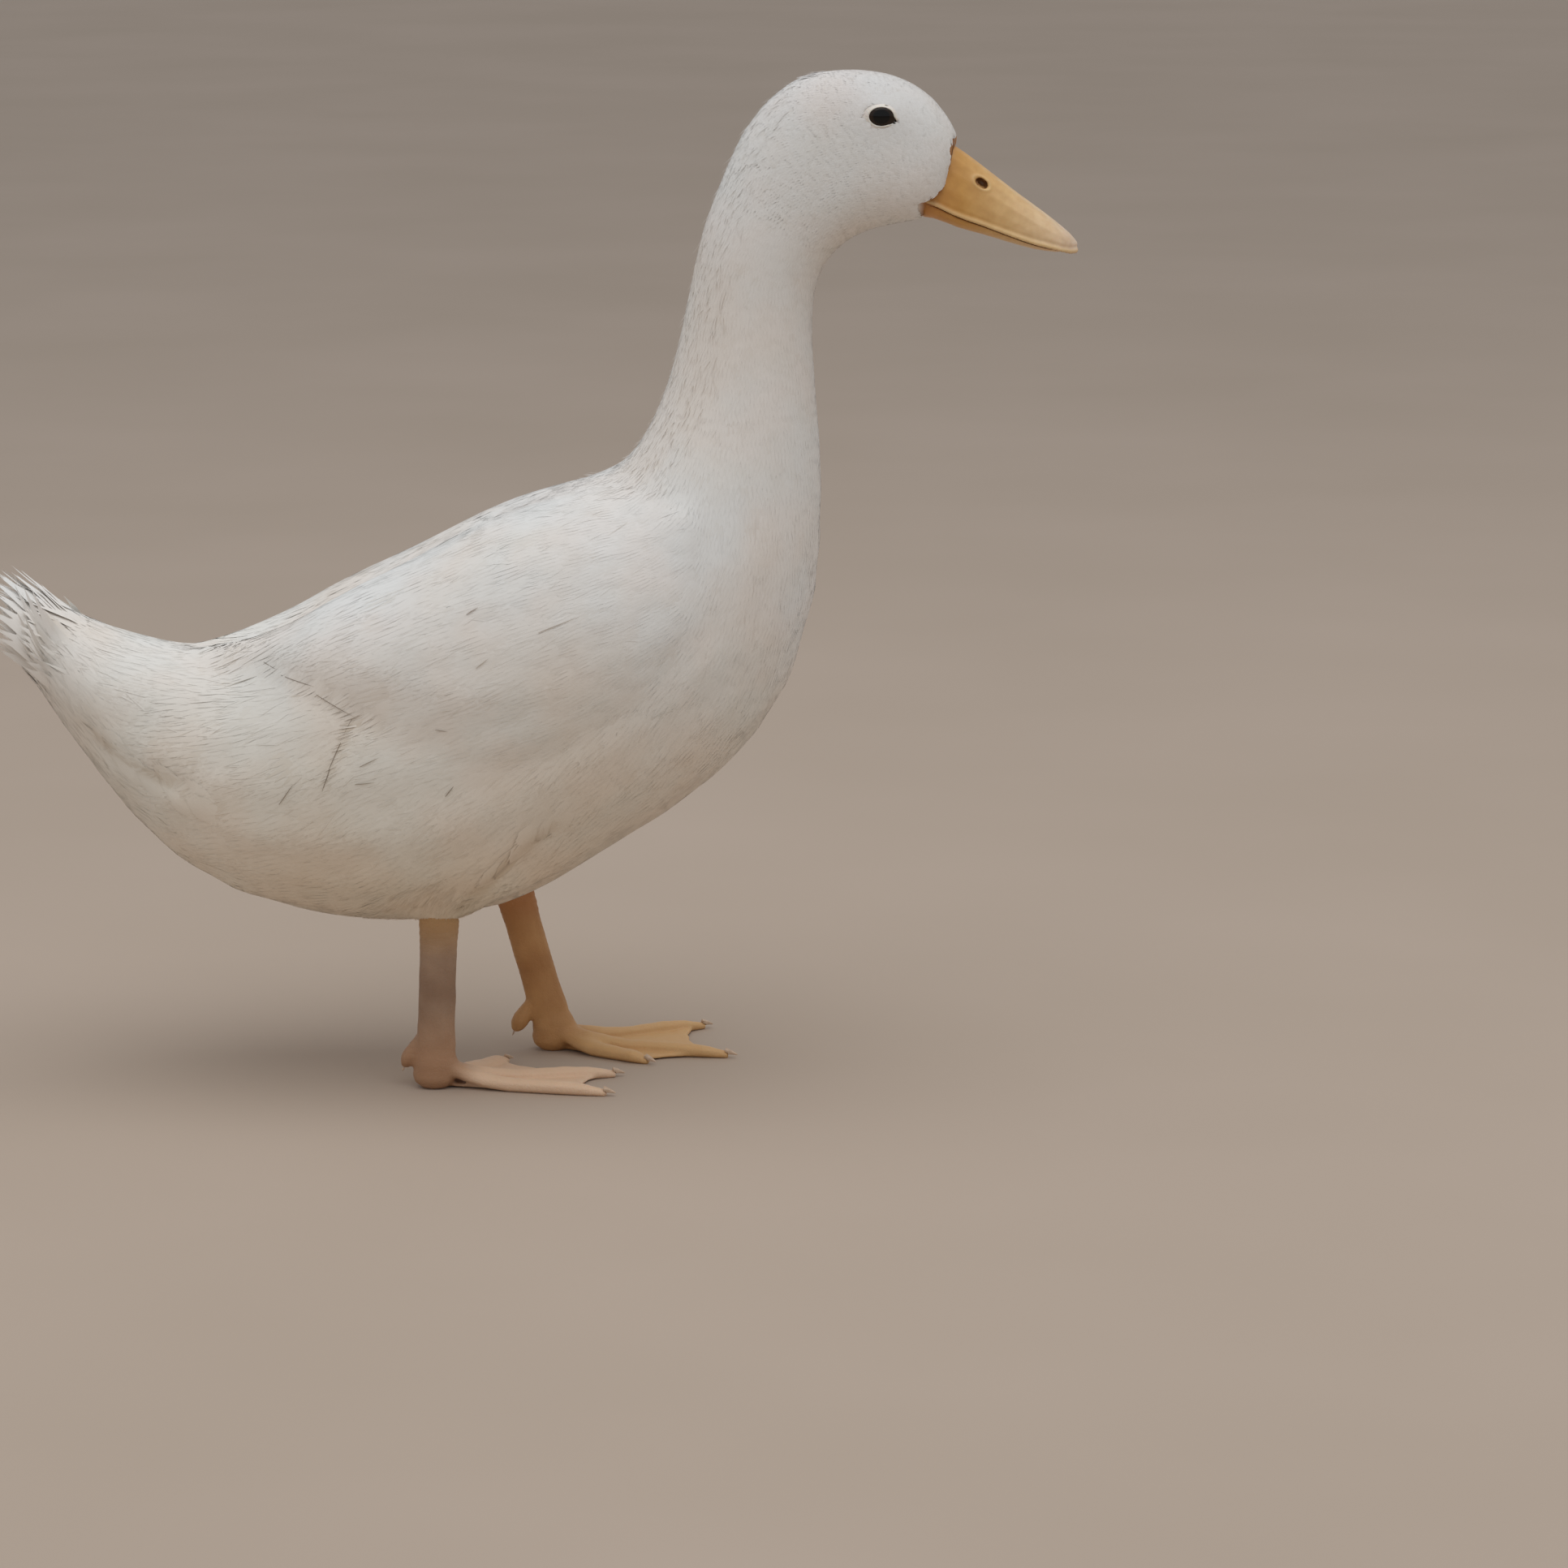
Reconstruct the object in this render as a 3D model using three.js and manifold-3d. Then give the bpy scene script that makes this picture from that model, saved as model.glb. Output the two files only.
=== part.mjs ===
// A still, life-size model of a white domestic duck of the Pekin type, standing with its neck up and its left foot
// a little ahead. Millimetres, x towards the bill, y to the duck's left, z up, floor at z = 0. The outer surface of
// each feathered piece is the tips of the plumage, and neighbouring pieces keep a thin gap.
import * as THREE from "three";
import { mergeVertices } from "three/addons/utils/BufferGeometryUtils.js";
import Module from "manifold-3d";

const wasm = await Module();
wasm.setup();

const GAP = 0.3; // between neighbouring pieces
const LEFT = 1;
const RIGHT = -1;

// The body's sections from the end of the tail coverts to the brow. Each crosses the outline from its top to its
// bottom in the middle plane: [top x, top z, bottom x, bottom z, half width, egg, fullness]. With egg above 0 the
// section is wider below its middle than above. Fullness is 1 on an ellipse, and lower on squarer sections.
const BODY_SECTIONS = [
  [-204, 203.5, -214, 184, 10, 0, 1],
  [-187, 191.8, -206, 164, 24, 0, 0.97],
  [-168, 183.5, -190, 142, 34, 0, 0.93],
  [-148, 179, -176, 121, 43, 0, 0.92],
  [-128, 178, -155, 98.5, 52, 0.04, 0.92],
  [-106, 184, -127, 79, 61, 0.06, 0.92],
  [-78, 200, -92, 69, 68, 0.06, 0.92],
  [-48, 216, -54, 64, 71, 0.06, 0.92],
  [-20, 231, -16, 70, 71, 0.05, 0.92],
  [4, 241, 24, 92, 70, 0.03, 0.94],
  [22, 248, 64, 118, 66, 0, 0.97],
  [35, 254, 94, 148, 58, -0.02, 1],
  [43, 264, 109, 182, 49, -0.03, 1],
  [50, 278, 115.5, 218, 40, -0.02, 1],
  [55.5, 294, 116, 254, 32, 0, 1],
  [59.5, 311, 113.5, 288, 27, 0, 1],
  [63, 328, 112.5, 312, 24.5, 0, 1],
  [67.5, 348, 115, 330, 23.5, 0, 0.96],
  [75, 368, 124, 342, 22.5, 0.02, 0.9],
  [86, 391, 135, 348, 22.5, 0.04, 0.85],
  [104, 408.5, 144, 350, 22.5, 0.06, 0.8],
  [127, 413, 151.5, 351.5, 22, 0.07, 0.78],
  [148, 409.5, 158.5, 353, 20, 0.06, 0.8],
  [162, 400, 164, 358, 16, 0.04, 0.85],
  [170.5, 387, 168.5, 368, 9, 0, 0.9],
];
const BODY_RINGS = 42;
const BODY_SIDES = 18;

// Where the body is parted, as places in BODY_SECTIONS
const TAIL_CUT = 3.05;
const NECK_CUT = 12.3;
const HEAD_CUT = 18.0;
const SMOOTHING = 0.1; // how far a face may move where small ones are merged

// The upper bill's sections from inside the head to the nail, as BODY_SECTIONS. The last number is how square the
// arch is: 1 is a rounded ridge, below 1 is flat-topped.
const UPPER_BILL_SECTIONS = [
  [158, 382, 153, 361.5, 9.5, 0.9],
  [168, 382.4, 161.5, 358.5, 11.2, 0.9],
  [176.6, 376.8, 171, 354, 11.2, 0.9],
  [185.8, 369.8, 181, 350.5, 11.2, 0.85],
  [194.8, 362.9, 191, 346.8, 12.4, 0.75],
  [203.6, 356.5, 201, 343.4, 13.8, 0.66],
  [211.3, 350.6, 209.5, 341.2, 13.4, 0.62],
  [216.5, 346, 215.5, 339.4, 9.8, 0.62],
  [219, 342.8, 218.4, 339, 4.6, 0.7],
];
// The lower bill's depth below the upper one at the gape and at its tip, and how far inside its edge it lies
const LOWER_BILL = { depthAtGape: 6.6, depthAtTip: 1.6, inset: 1.3, startsAt: 0.4, endsAt: 6.6 };
const NOSTRIL = { x: 180, y: 4.4, z: 367.6, halfLength: 2.7, halfHeight: 1.6, pitch: 0.62, reach: 6 };

const EYE = { x: 139.5, z: 395.2, centreY: 14.2, radius: 7.3 };
const EYE_OPENING = { halfLength: 5.6, halfHeight: 3.9, y: 21.5, depth: 4.6 };

// The folded wing lies on the body's side. Its outline runs between two angles round each body section, and its
// thickness swells from its edge to the middle.
const WING = {
  tip: 3.6,
  shoulder: 12.0,
  lowerAngles: [1.3, 0.98, 0.62, 0.3, 0.02, -0.12, -0.12, 0.04, 0.3],
  upperAngles: [1.44, 1.46, 1.47, 1.47, 1.46, 1.42, 1.3, 1.05, 0.48],
  thickness: 8.5,
  edge: 1.0,
  depthInside: 5,
  cut: 6.2,
  rings: 16,
  arcSteps: 7,
};

// The tail's feathers fan out from under the coverts like a shallow roof. The middle one runs from root to tip, and
// the outermost one on each side lies this much further out, back and down at its root and at its tip.
const TAIL = {
  feathers: 6, // on each side of the middle one
  root: [-152, 0, 165.5],
  rootSpread: [-4, 13, -10],
  tip: [-212.5, 0, 211],
  tipSpread: [-6.5, 26, -20],
  bank: 1.0, // of the outermost feather, in radians
  halfWidth: 8,
  thickness: 1.1,
};

// Each leg: the ankle and the foot's joint, the way the middle toe points, and the other toes' angles from it
const LEGS = {
  right: {
    side: RIGHT,
    ankle: [-39.5, -31, 77],
    joint: [-42, -31, 9],
    heading: 0.22,
    outer: 0.43,
    inner: 0.74,
  },
  left: {
    side: LEFT,
    ankle: [-14, 31, 75],
    joint: [4, 33, 9],
    heading: -0.21,
    outer: 0.72,
    inner: 0.37,
  },
};
const THIGH = { hip: [18, 41, 27], hipRadius: 32, ankleRadius: 11, drop: 5 };
const SHANK = { halfDepth: 7.7, halfWidth: 5.3, anklePart: 1.2, jointPart: 1.24 };
const TOES = {
  middle: { length: 75, halfWidth: 4.5, bones: 3 },
  outer: { length: 72, halfWidth: 4.1, bones: 4 },
  inner: { length: 48, halfWidth: 4.5, bones: 2 },
};
// A toe's half height at its root, its share above the flat sole, how much it narrows and knuckles on the way, the
// stretch that rounds its end, and how its middle line rises towards the joint
const TOE = { height: 3.5, aboveSole: 0.84, tip: 0.86, knuckle: 0.07, end: 0.08, rise: 8, risePart: 0.5 };
const PAD = { behind: 0.4, height: 5.8, radii: [9.2, 7.4, 7] }; // under the foot's joint
const WEB = { bottom: 0.5, thickness: 1.5, reach: 0.93, hollow: 0.1, steps: 4 };
const HALLUX = { root: 21, back: 6, inward: 1.5, length: 15, radius: 3.1, pitch: -1.05, clawScale: 0.5 };
const CLAW = { length: 5.2, radius: 2.2, drop: 1.2, inToe: 1.2, height: 2.7 };

// Helpers

const UP = new THREE.Vector3(0, 0, 1);
const ACROSS = new THREE.Vector3(0, 1, 0);
const vector = (list) => new THREE.Vector3(...list);

/** A smooth curve through sections, read at a place counted in sections. */
function through(rows, pick) {
  const curve = new THREE.CatmullRomCurve3(rows.map((row) => new THREE.Vector3(...pick(row))));
  return (place) => curve.getPoint(THREE.MathUtils.clamp(place / (rows.length - 1), 0, 1));
}

/** A number that goes smoothly through a list as part runs from 0 to 1. */
function along(values, part) {
  const place = part * (values.length - 1);
  const first = Math.min(Math.floor(place), values.length - 2);
  return THREE.MathUtils.lerp(values[first], values[first + 1], place - first);
}

/** A power that keeps its base's sign. */
function power(base, exponent) {
  return Math.sign(base) * Math.abs(base) ** exponent;
}

/** How much narrower a piece is at part of its length, where its last stretch rounds off. */
function rounded(part, stretch) {
  return Math.sqrt(1 - Math.max((part - 1 + stretch) / stretch, 0) ** 2 * 0.8);
}

/** The mean of a ring's points. */
function middleOf(ring) {
  return ring.reduce((sum, p) => sum.add(p), new THREE.Vector3()).divideScalar(ring.length);
}

/** Rings moved out from their middles, and the two end ones on along the line of middles, for room round a piece. */
function grown(rings, grow) {
  const middles = rings.map(middleOf);
  const last = rings.length - 1;
  return rings.map((ring, k) => {
    const onward = new THREE.Vector3();
    if (k === 0) onward.subVectors(middles[0], middles[1]).setLength(grow);
    if (k === last) onward.subVectors(middles[last], middles[last - 1]).setLength(grow);
    return ring.map((p) => p.clone().add(onward).add(p.clone().sub(middles[k]).setLength(grow)));
  });
}

/** A closed mesh through rings of as many points each, with a fan of triangles over each end. */
function loft(rings) {
  const sides = rings[0].length;
  const points = [...rings.flat(), middleOf(rings[0]), middleOf(rings.at(-1))];
  const first = points.length - 2;
  const last = points.length - 1;
  const start = (rings.length - 1) * sides;
  const faces = [];
  for (let i = 0; i < sides; i++) {
    const next = (i + 1) % sides;
    for (let k = 0; k < start; k += sides) {
      faces.push(k + i, k + next, k + sides + i);
      faces.push(k + next, k + sides + next, k + sides + i);
    }
    faces.push(first, next, i);
    faces.push(last, start + i, start + next);
  }
  const geometry = new THREE.BufferGeometry().setFromPoints(points);
  return geometry.setIndex(faces);
}

/** A geometry as a solid that faces out. */
function solid(geometry) {
  const bare = new THREE.BufferGeometry().setAttribute("position", geometry.getAttribute("position"));
  bare.setIndex(geometry.index);
  const merged = mergeVertices(bare, 1e-4);
  const vertProperties = new Float32Array(merged.attributes.position.array);
  const triVerts = new Uint32Array(merged.index.array);
  const made = new wasm.Manifold(new wasm.Mesh({ numProp: 3, vertProperties, triVerts }));
  if (made.volume() > 0) return made;
  triVerts.reverse();
  return new wasm.Manifold(new wasm.Mesh({ numProp: 3, vertProperties, triVerts }));
}

/** The part of a solid on the side of a plane that its normal points to. */
function keepAhead(shape, point, normal, gap = 0) {
  const unit = normal.clone().normalize();
  return shape.trimByPlane(unit.toArray(), unit.dot(point) + gap);
}

function ball(centre, scale, radius = 1) {
  const geometry = new THREE.SphereGeometry(radius, 12, 8);
  return geometry.scale(...scale).translate(...centre);
}

/** Ellipses round stations { at, half, high }, square to the way forward, with half measured along side. */
function ellipses(stations, forward, side, sides) {
  const across = side.clone().normalize();
  const up = new THREE.Vector3().crossVectors(forward, across).normalize();
  return stations.map(({ at, half, high }) =>
    Array.from({ length: sides }, (_, i) => {
      const angle = (i / sides) * 2 * Math.PI;
      const out = at.clone().addScaledVector(across, half * Math.cos(angle));
      return out.addScaledVector(up, high * Math.sin(angle));
    }),
  );
}

// Body, neck, head and tail

const bodyTop = through(BODY_SECTIONS, ([x, z]) => [x, 0, z]);
const bodyBottom = through(BODY_SECTIONS, ([, , x, z]) => [x, 0, z]);
const bodyWidth = through(BODY_SECTIONS, ([, , , , half, egg, fullness]) => [half, egg, fullness]);

/** A point of the body's surface: place is counted in sections, angle runs from the left side up over the back. */
function bodyPoint(place, angle, grow = 0) {
  const top = bodyTop(place);
  const up = top.clone().sub(bodyBottom(place)).multiplyScalar(0.5);
  const centre = top.sub(up);
  const { x: half, y: egg, z: fullness } = bodyWidth(place);
  const rise = power(Math.sin(angle), fullness);
  up.setLength(up.length() + grow);
  const side = (half + grow) * power(Math.cos(angle), fullness) * (1 - egg * rise);
  return centre.addScaledVector(up, rise).add(new THREE.Vector3(0, side, 0));
}

/** The whole body from the tail coverts to the brow, grown by a little for cutting its neighbours. */
function wholeBody(grow = 0) {
  const last = BODY_SECTIONS.length - 1;
  const rings = [];
  for (let k = 0; k <= BODY_RINGS; k++) {
    const place = (k / BODY_RINGS) * last;
    const turn = (i) => (i / BODY_SIDES) * 2 * Math.PI;
    rings.push(Array.from({ length: BODY_SIDES }, (_, i) => bodyPoint(place, turn(i), grow)));
  }
  return solid(loft(rings));
}

/** The plane of a body section, facing the head. */
function sectionPlane(place) {
  const top = bodyTop(place);
  const down = bodyBottom(place).sub(top);
  return { point: top, normal: new THREE.Vector3().crossVectors(down, new THREE.Vector3(0, 1, 0)) };
}

/** The stretch of a solid between two body sections, short of each by half the gap. */
function stretch(shape, from, to) {
  let kept = shape;
  if (from !== null) {
    const { point, normal } = sectionPlane(from);
    kept = keepAhead(kept, point, normal, GAP / 2);
  }
  if (to !== null) {
    const { point, normal } = sectionPlane(to);
    kept = keepAhead(kept, point, normal.negate(), GAP / 2);
  }
  return kept;
}

/** One tail feather as a flat blade with a blunt point, along x from its root. */
function tailFeather(length) {
  const { halfWidth, thickness } = TAIL;
  const outline = new THREE.Shape();
  outline.moveTo(0, -halfWidth * 0.5);
  outline.quadraticCurveTo(length * 0.5, -halfWidth * 1.15, length * 0.82, -halfWidth * 0.75);
  outline.quadraticCurveTo(length * 0.94, -halfWidth * 0.4, length, 0);
  outline.quadraticCurveTo(length * 0.94, halfWidth * 0.4, length * 0.82, halfWidth * 0.75);
  outline.quadraticCurveTo(length * 0.5, halfWidth * 1.15, 0, halfWidth * 0.5);
  outline.closePath();
  const settings = { depth: thickness, bevelEnabled: false, curveSegments: 2 };
  return new THREE.ExtrudeGeometry(outline, settings).translate(0, 0, -thickness / 2);
}

/** The tail: its coverts and the fan of feathers. */
function tail(body) {
  let made = stretch(body, null, TAIL_CUT);
  const { point, normal } = sectionPlane(TAIL_CUT);
  for (let i = -TAIL.feathers; i <= TAIL.feathers; i++) {
    const part = i / TAIL.feathers;
    const away = Math.abs(part);
    const spread = ([x, y, z]) => new THREE.Vector3(x * away ** 1.5, y * part, z * away ** 1.5);
    const root = vector(TAIL.root).add(spread(TAIL.rootSpread));
    const ahead = vector(TAIL.tip).add(spread(TAIL.tipSpread)).sub(root);
    const across = new THREE.Vector3(0, Math.cos(part * TAIL.bank), -Math.sin(part * TAIL.bank));
    const blade = tailFeather(ahead.length());
    ahead.normalize();
    across.addScaledVector(ahead, -across.dot(ahead)).normalize();
    const up = new THREE.Vector3().crossVectors(ahead, across);
    blade.applyMatrix4(new THREE.Matrix4().makeBasis(ahead, across, up).setPosition(root));
    made = made.add(keepAhead(solid(blade), point, normal.clone().negate(), GAP / 2));
  }
  return made;
}

// Bill

const upperTop = through(UPPER_BILL_SECTIONS, ([x, z]) => [x, 0, z]);
const upperBottom = through(UPPER_BILL_SECTIONS, ([, , x, z]) => [x, 0, z]);
const upperWidth = through(UPPER_BILL_SECTIONS, ([, , , , half, arch]) => [half, arch, 0]);

/** One ring of the upper bill: an arch over a flat bottom. */
function upperBillRing(place) {
  const steps = 10;
  const bottom = upperBottom(place);
  const up = upperTop(place).sub(bottom);
  const { x: half, y: arch } = upperWidth(place);
  const ring = [];
  for (let i = 0; i <= steps; i++) {
    const angle = (i / steps) * Math.PI;
    const side = half * power(Math.cos(angle), arch);
    const rise = Math.sin(angle) ** 0.9;
    ring.push(bottom.clone().addScaledVector(up, rise).add(new THREE.Vector3(0, side, 0)));
  }
  ring.push(bottom);
  return ring;
}

function upperBill(grow = 0) {
  const last = UPPER_BILL_SECTIONS.length - 1;
  const places = Array.from({ length: 15 }, (_, k) => (k / 14) * last);
  return solid(loft(grown(places.map(upperBillRing), grow)));
}

/** The lower bill, a shallow trough just inside the upper one's edge. */
function lowerBill(grow = 0) {
  const { depthAtGape, depthAtTip, inset, startsAt, endsAt } = LOWER_BILL;
  const steps = 10;
  const rings = [];
  for (let k = 0; k <= 12; k++) {
    const part = k / 12;
    const place = THREE.MathUtils.lerp(startsAt, endsAt, part);
    const top = upperBottom(place).add(new THREE.Vector3(0, 0, -GAP));
    const round = Math.sqrt(Math.max(1 - part ** 8, 0.06));
    const half = (upperWidth(place).x - inset) * round;
    const depth = THREE.MathUtils.lerp(depthAtGape, depthAtTip, part ** 0.7) * round;
    const ring = [top];
    for (let i = 0; i <= steps; i++) {
      const angle = Math.PI * (1 + i / steps);
      ring.push(top.clone().add(new THREE.Vector3(0, half * Math.cos(angle), depth * Math.sin(angle))));
    }
    rings.push(ring);
  }
  return solid(loft(grown(rings, grow)));
}

/** An oval nostril on each side of the ridge. */
function nostril(side) {
  const { x, y, z, halfLength, halfHeight, pitch, reach } = NOSTRIL;
  const hole = new THREE.SphereGeometry(1, 8, 6);
  hole.scale(halfLength, reach, halfHeight);
  return solid(hole.rotateY(pitch).translate(x, side * (y + reach), z));
}

// Head

function eye(side, grow = 0) {
  return solid(ball([EYE.x, side * EYE.centreY, EYE.z], [1, 1, 1], EYE.radius + grow));
}

function eyeOpening(side) {
  const { halfLength, halfHeight, y, depth } = EYE_OPENING;
  return solid(ball([EYE.x, side * y, EYE.z], [halfLength, depth, halfHeight]));
}

function head(body) {
  let made = stretch(body, HEAD_CUT, null);
  made = made.subtract(upperBill(GAP)).subtract(lowerBill(GAP));
  for (const side of [LEFT, RIGHT]) {
    made = made.subtract(eye(side, GAP)).subtract(eyeOpening(side));
  }
  return made;
}

// Wings

/** A folded wing as a shell on the body's side. */
function wing(side, grownBody) {
  const { tip, shoulder, lowerAngles, upperAngles, thickness, edge, depthInside } = WING;
  const rings = [];
  for (let k = 0; k <= WING.rings; k++) {
    const part = k / WING.rings;
    const place = THREE.MathUtils.lerp(tip, shoulder, part);
    const low = along(lowerAngles, part);
    const high = along(upperAngles, part);
    const swell = Math.sin(Math.PI * Math.min(part * 1.15, 1) ** 0.8);
    const outer = [];
    const inner = [];
    for (let i = 0; i <= WING.arcSteps; i++) {
      const across = i / WING.arcSteps;
      const rise = Math.sin(Math.PI * across ** 0.85) ** 0.7;
      const out = edge + thickness * rise * (0.25 + 0.75 * swell);
      const angle = THREE.MathUtils.lerp(low, high, across);
      outer.push(bodyPoint(place, angle, out));
      inner.unshift(bodyPoint(place, angle, -depthInside));
    }
    rings.push([...outer, ...inner]);
  }
  for (const point of rings.flat()) point.y *= side;
  return solid(loft(rings)).subtract(grownBody);
}

// Legs

/** The feathered thigh, from the flank down to the ankle. */
function thigh(leg, grow = 0) {
  const ankle = vector(leg.ankle);
  const [ahead, aside, above] = THIGH.hip;
  const hip = new THREE.Vector3(ankle.x + ahead, leg.side * aside, ankle.z + above);
  ankle.z -= THIGH.drop;
  const forward = ankle.clone().sub(hip);
  const stations = [];
  for (let k = 0; k <= 10; k++) {
    const part = k / 10;
    const round = rounded(1 - part, 0.4) * rounded(part, 0.15);
    const radius = THREE.MathUtils.lerp(THIGH.hipRadius, THIGH.ankleRadius, part ** 0.7) * round;
    const at = hip.clone().addScaledVector(forward, part);
    stations.push({ at, half: radius * 0.8, high: radius });
  }
  return solid(loft(grown(ellipses(stations, forward, ACROSS, 14), grow)));
}

/** The bare shank from inside the thigh feathers to the foot's joint. */
function shank(leg, grow = 0) {
  const ankle = vector(leg.ankle);
  const joint = vector(leg.joint);
  const forward = joint.clone().sub(ankle);
  const stations = [];
  for (let k = 0; k <= 10; k++) {
    const part = k / 10;
    const toAnkle = Math.max(1 - part / 0.3, 0) ** 1.5;
    const toJoint = Math.max((part - 0.72) / 0.28, 0) ** 1.5;
    const stout = 1 + (SHANK.anklePart - 1) * toAnkle + (SHANK.jointPart - 1) * toJoint;
    const round = rounded(1 - part, 0.12) * rounded(part, 0.1);
    stations.push({
      at: ankle.clone().addScaledVector(forward, part),
      half: SHANK.halfWidth * stout * round,
      high: SHANK.halfDepth * stout * round,
    });
  }
  return solid(loft(grown(ellipses(stations, forward, ACROSS, 12), grow)));
}

/** The point on the floor under a foot's joint. */
function onFloor(leg) {
  return vector(leg.joint).setZ(0);
}

/** The direction on the floor of one of a leg's toes. */
function toeHeading(leg, name) {
  const turn = { middle: 0, outer: leg.side * leg.outer, inner: -leg.side * leg.inner }[name];
  const angle = leg.heading + turn;
  return new THREE.Vector3(Math.cos(angle), Math.sin(angle), 0);
}

/** A toe, knuckled at its joints, lying on the floor. */
function toe(leg, name) {
  const { length, halfWidth, bones } = TOES[name];
  const forward = toeHeading(leg, name);
  const stations = [];
  for (let k = 0; k <= 7; k++) {
    const part = k / 7;
    const knuckle = 1 + TOE.knuckle * Math.cos(2 * Math.PI * bones * part);
    const thin = THREE.MathUtils.lerp(1, TOE.tip, part) * knuckle * rounded(part, TOE.end);
    const high = TOE.height * thin;
    const at = onFloor(leg).addScaledVector(forward, part * length);
    at.z = high * TOE.aboveSole + TOE.rise * Math.max(1 - part / TOE.risePart, 0) ** 2;
    stations.push({ at, half: halfWidth * thin, high });
  }
  const side = new THREE.Vector3().crossVectors(UP, forward);
  return solid(loft(ellipses(stations, forward, side, 7)));
}

/** The web between two toes, a thin sheet with a hollow front edge. */
function web(leg, one, other) {
  const root = onFloor(leg);
  const end = (name) => root.clone().addScaledVector(toeHeading(leg, name), TOES[name].length * WEB.reach);
  const a = end(one);
  const b = end(other);
  const middle = a.clone().add(b).multiplyScalar(0.5);
  const back = middle.lerp(root, WEB.hollow * 2);
  const outline = new THREE.Shape();
  outline.moveTo(root.x, root.y);
  outline.lineTo(a.x, a.y);
  outline.quadraticCurveTo(back.x, back.y, b.x, b.y);
  outline.closePath();
  const settings = { depth: WEB.thickness, bevelEnabled: false, curveSegments: WEB.steps };
  return solid(new THREE.ExtrudeGeometry(outline, settings).translate(0, 0, WEB.bottom));
}

/** The pad under the joint, three toes and two webs, with flat soles on the floor. */
function foot(leg) {
  const [x, y] = leg.joint;
  let made = solid(ball([x - PAD.behind, y, PAD.height], PAD.radii));
  for (const name of Object.keys(TOES)) made = made.add(toe(leg, name));
  made = made.add(web(leg, "middle", "outer")).add(web(leg, "middle", "inner"));
  const bodies = made.trimByPlane([0, 0, 1], 0).subtract(shank(leg, GAP)).decompose();
  return bodies.reduce((a, b) => (a.volume() > b.volume() ? a : b));
}

/** The root of the hind toe on the back of the shank, and the way it points. */
function halluxLine(leg) {
  const rise = (HALLUX.root - leg.joint[2]) / (leg.ankle[2] - leg.joint[2]);
  const root = vector(leg.joint).lerp(vector(leg.ankle), rise);
  root.x -= HALLUX.back;
  root.y -= leg.side * HALLUX.inward;
  return { root, forward: new THREE.Vector3(-Math.cos(HALLUX.pitch), 0, Math.sin(HALLUX.pitch)) };
}

/** The short hind toe, held clear of the floor. */
function hallux(leg) {
  const { root, forward } = halluxLine(leg);
  const stations = [];
  for (let k = 0; k <= 6; k++) {
    const part = k / 6;
    const radius = HALLUX.radius * (0.8 + 0.45 * Math.sin(Math.PI * part ** 1.6)) * rounded(part, 0.3);
    const at = root.clone().addScaledVector(forward, part * HALLUX.length);
    stations.push({ at, half: radius * 0.8, high: radius });
  }
  return solid(loft(ellipses(stations, forward, ACROSS, 8)));
}

/** A small bent claw from a point, along a heading. */
function claw(at, forward, scale = 1) {
  const side = forward.z === 0 ? new THREE.Vector3().crossVectors(UP, forward) : ACROSS;
  const stations = [];
  for (let k = 0; k <= 4; k++) {
    const part = k / 4;
    const radius = CLAW.radius * scale * THREE.MathUtils.lerp(0.8, 0.15, part);
    const centre = at.clone().addScaledVector(forward, part * CLAW.length * scale);
    centre.z -= CLAW.drop * scale * part * part;
    stations.push({ at: centre, half: radius, high: radius });
  }
  return solid(loft(ellipses(stations, forward, side, 5)));
}

function toeClaw(leg, name) {
  const forward = toeHeading(leg, name);
  const at = onFloor(leg).addScaledVector(forward, TOES[name].length - CLAW.inToe);
  return claw(at.setZ(CLAW.height), forward);
}

function halluxClaw(leg) {
  const { root, forward } = halluxLine(leg);
  return claw(root.addScaledVector(forward, HALLUX.length - 1), forward, HALLUX.clawScale);
}

// The duck

const PLUMAGE = new THREE.MeshStandardMaterial({ color: "#e9e6de", roughness: 0.85, metalness: 0 });
const BILL = new THREE.MeshStandardMaterial({ color: "#d9a45c", roughness: 0.45, metalness: 0 });
const SKIN = new THREE.MeshStandardMaterial({ color: "#c98f56", roughness: 0.6, metalness: 0 });
const CLAW_HORN = new THREE.MeshStandardMaterial({ color: "#d8c2a6", roughness: 0.5, metalness: 0 });
const EYE_DARK = new THREE.MeshStandardMaterial({ color: "#1d1612", roughness: 0.08, metalness: 0 });

const duck = new THREE.Group();

/** Adds a solid to a group of the duck as a named mesh. */
function place(group, name, shape, material) {
  const { numProp, vertProperties, triVerts } = shape.simplify(SMOOTHING).getMesh();
  const positions = new Float32Array((vertProperties.length / numProp) * 3);
  for (let i = 0; i < positions.length / 3; i++) {
    positions.set(vertProperties.subarray(i * numProp, i * numProp + 3), i * 3);
  }
  const geometry = new THREE.BufferGeometry();
  geometry.setAttribute("position", new THREE.BufferAttribute(positions, 3));
  geometry.setIndex(new THREE.BufferAttribute(triVerts, 1));
  geometry.computeVertexNormals();
  const mesh = new THREE.Mesh(geometry, material);
  mesh.name = name;
  group.add(mesh);
}

/** A new group within the duck. */
function newGroup() {
  const group = new THREE.Group();
  duck.add(group);
  return group;
}

const body = wholeBody();
const grownBody = wholeBody(GAP);
let trunk = stretch(body, TAIL_CUT, NECK_CUT);

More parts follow.
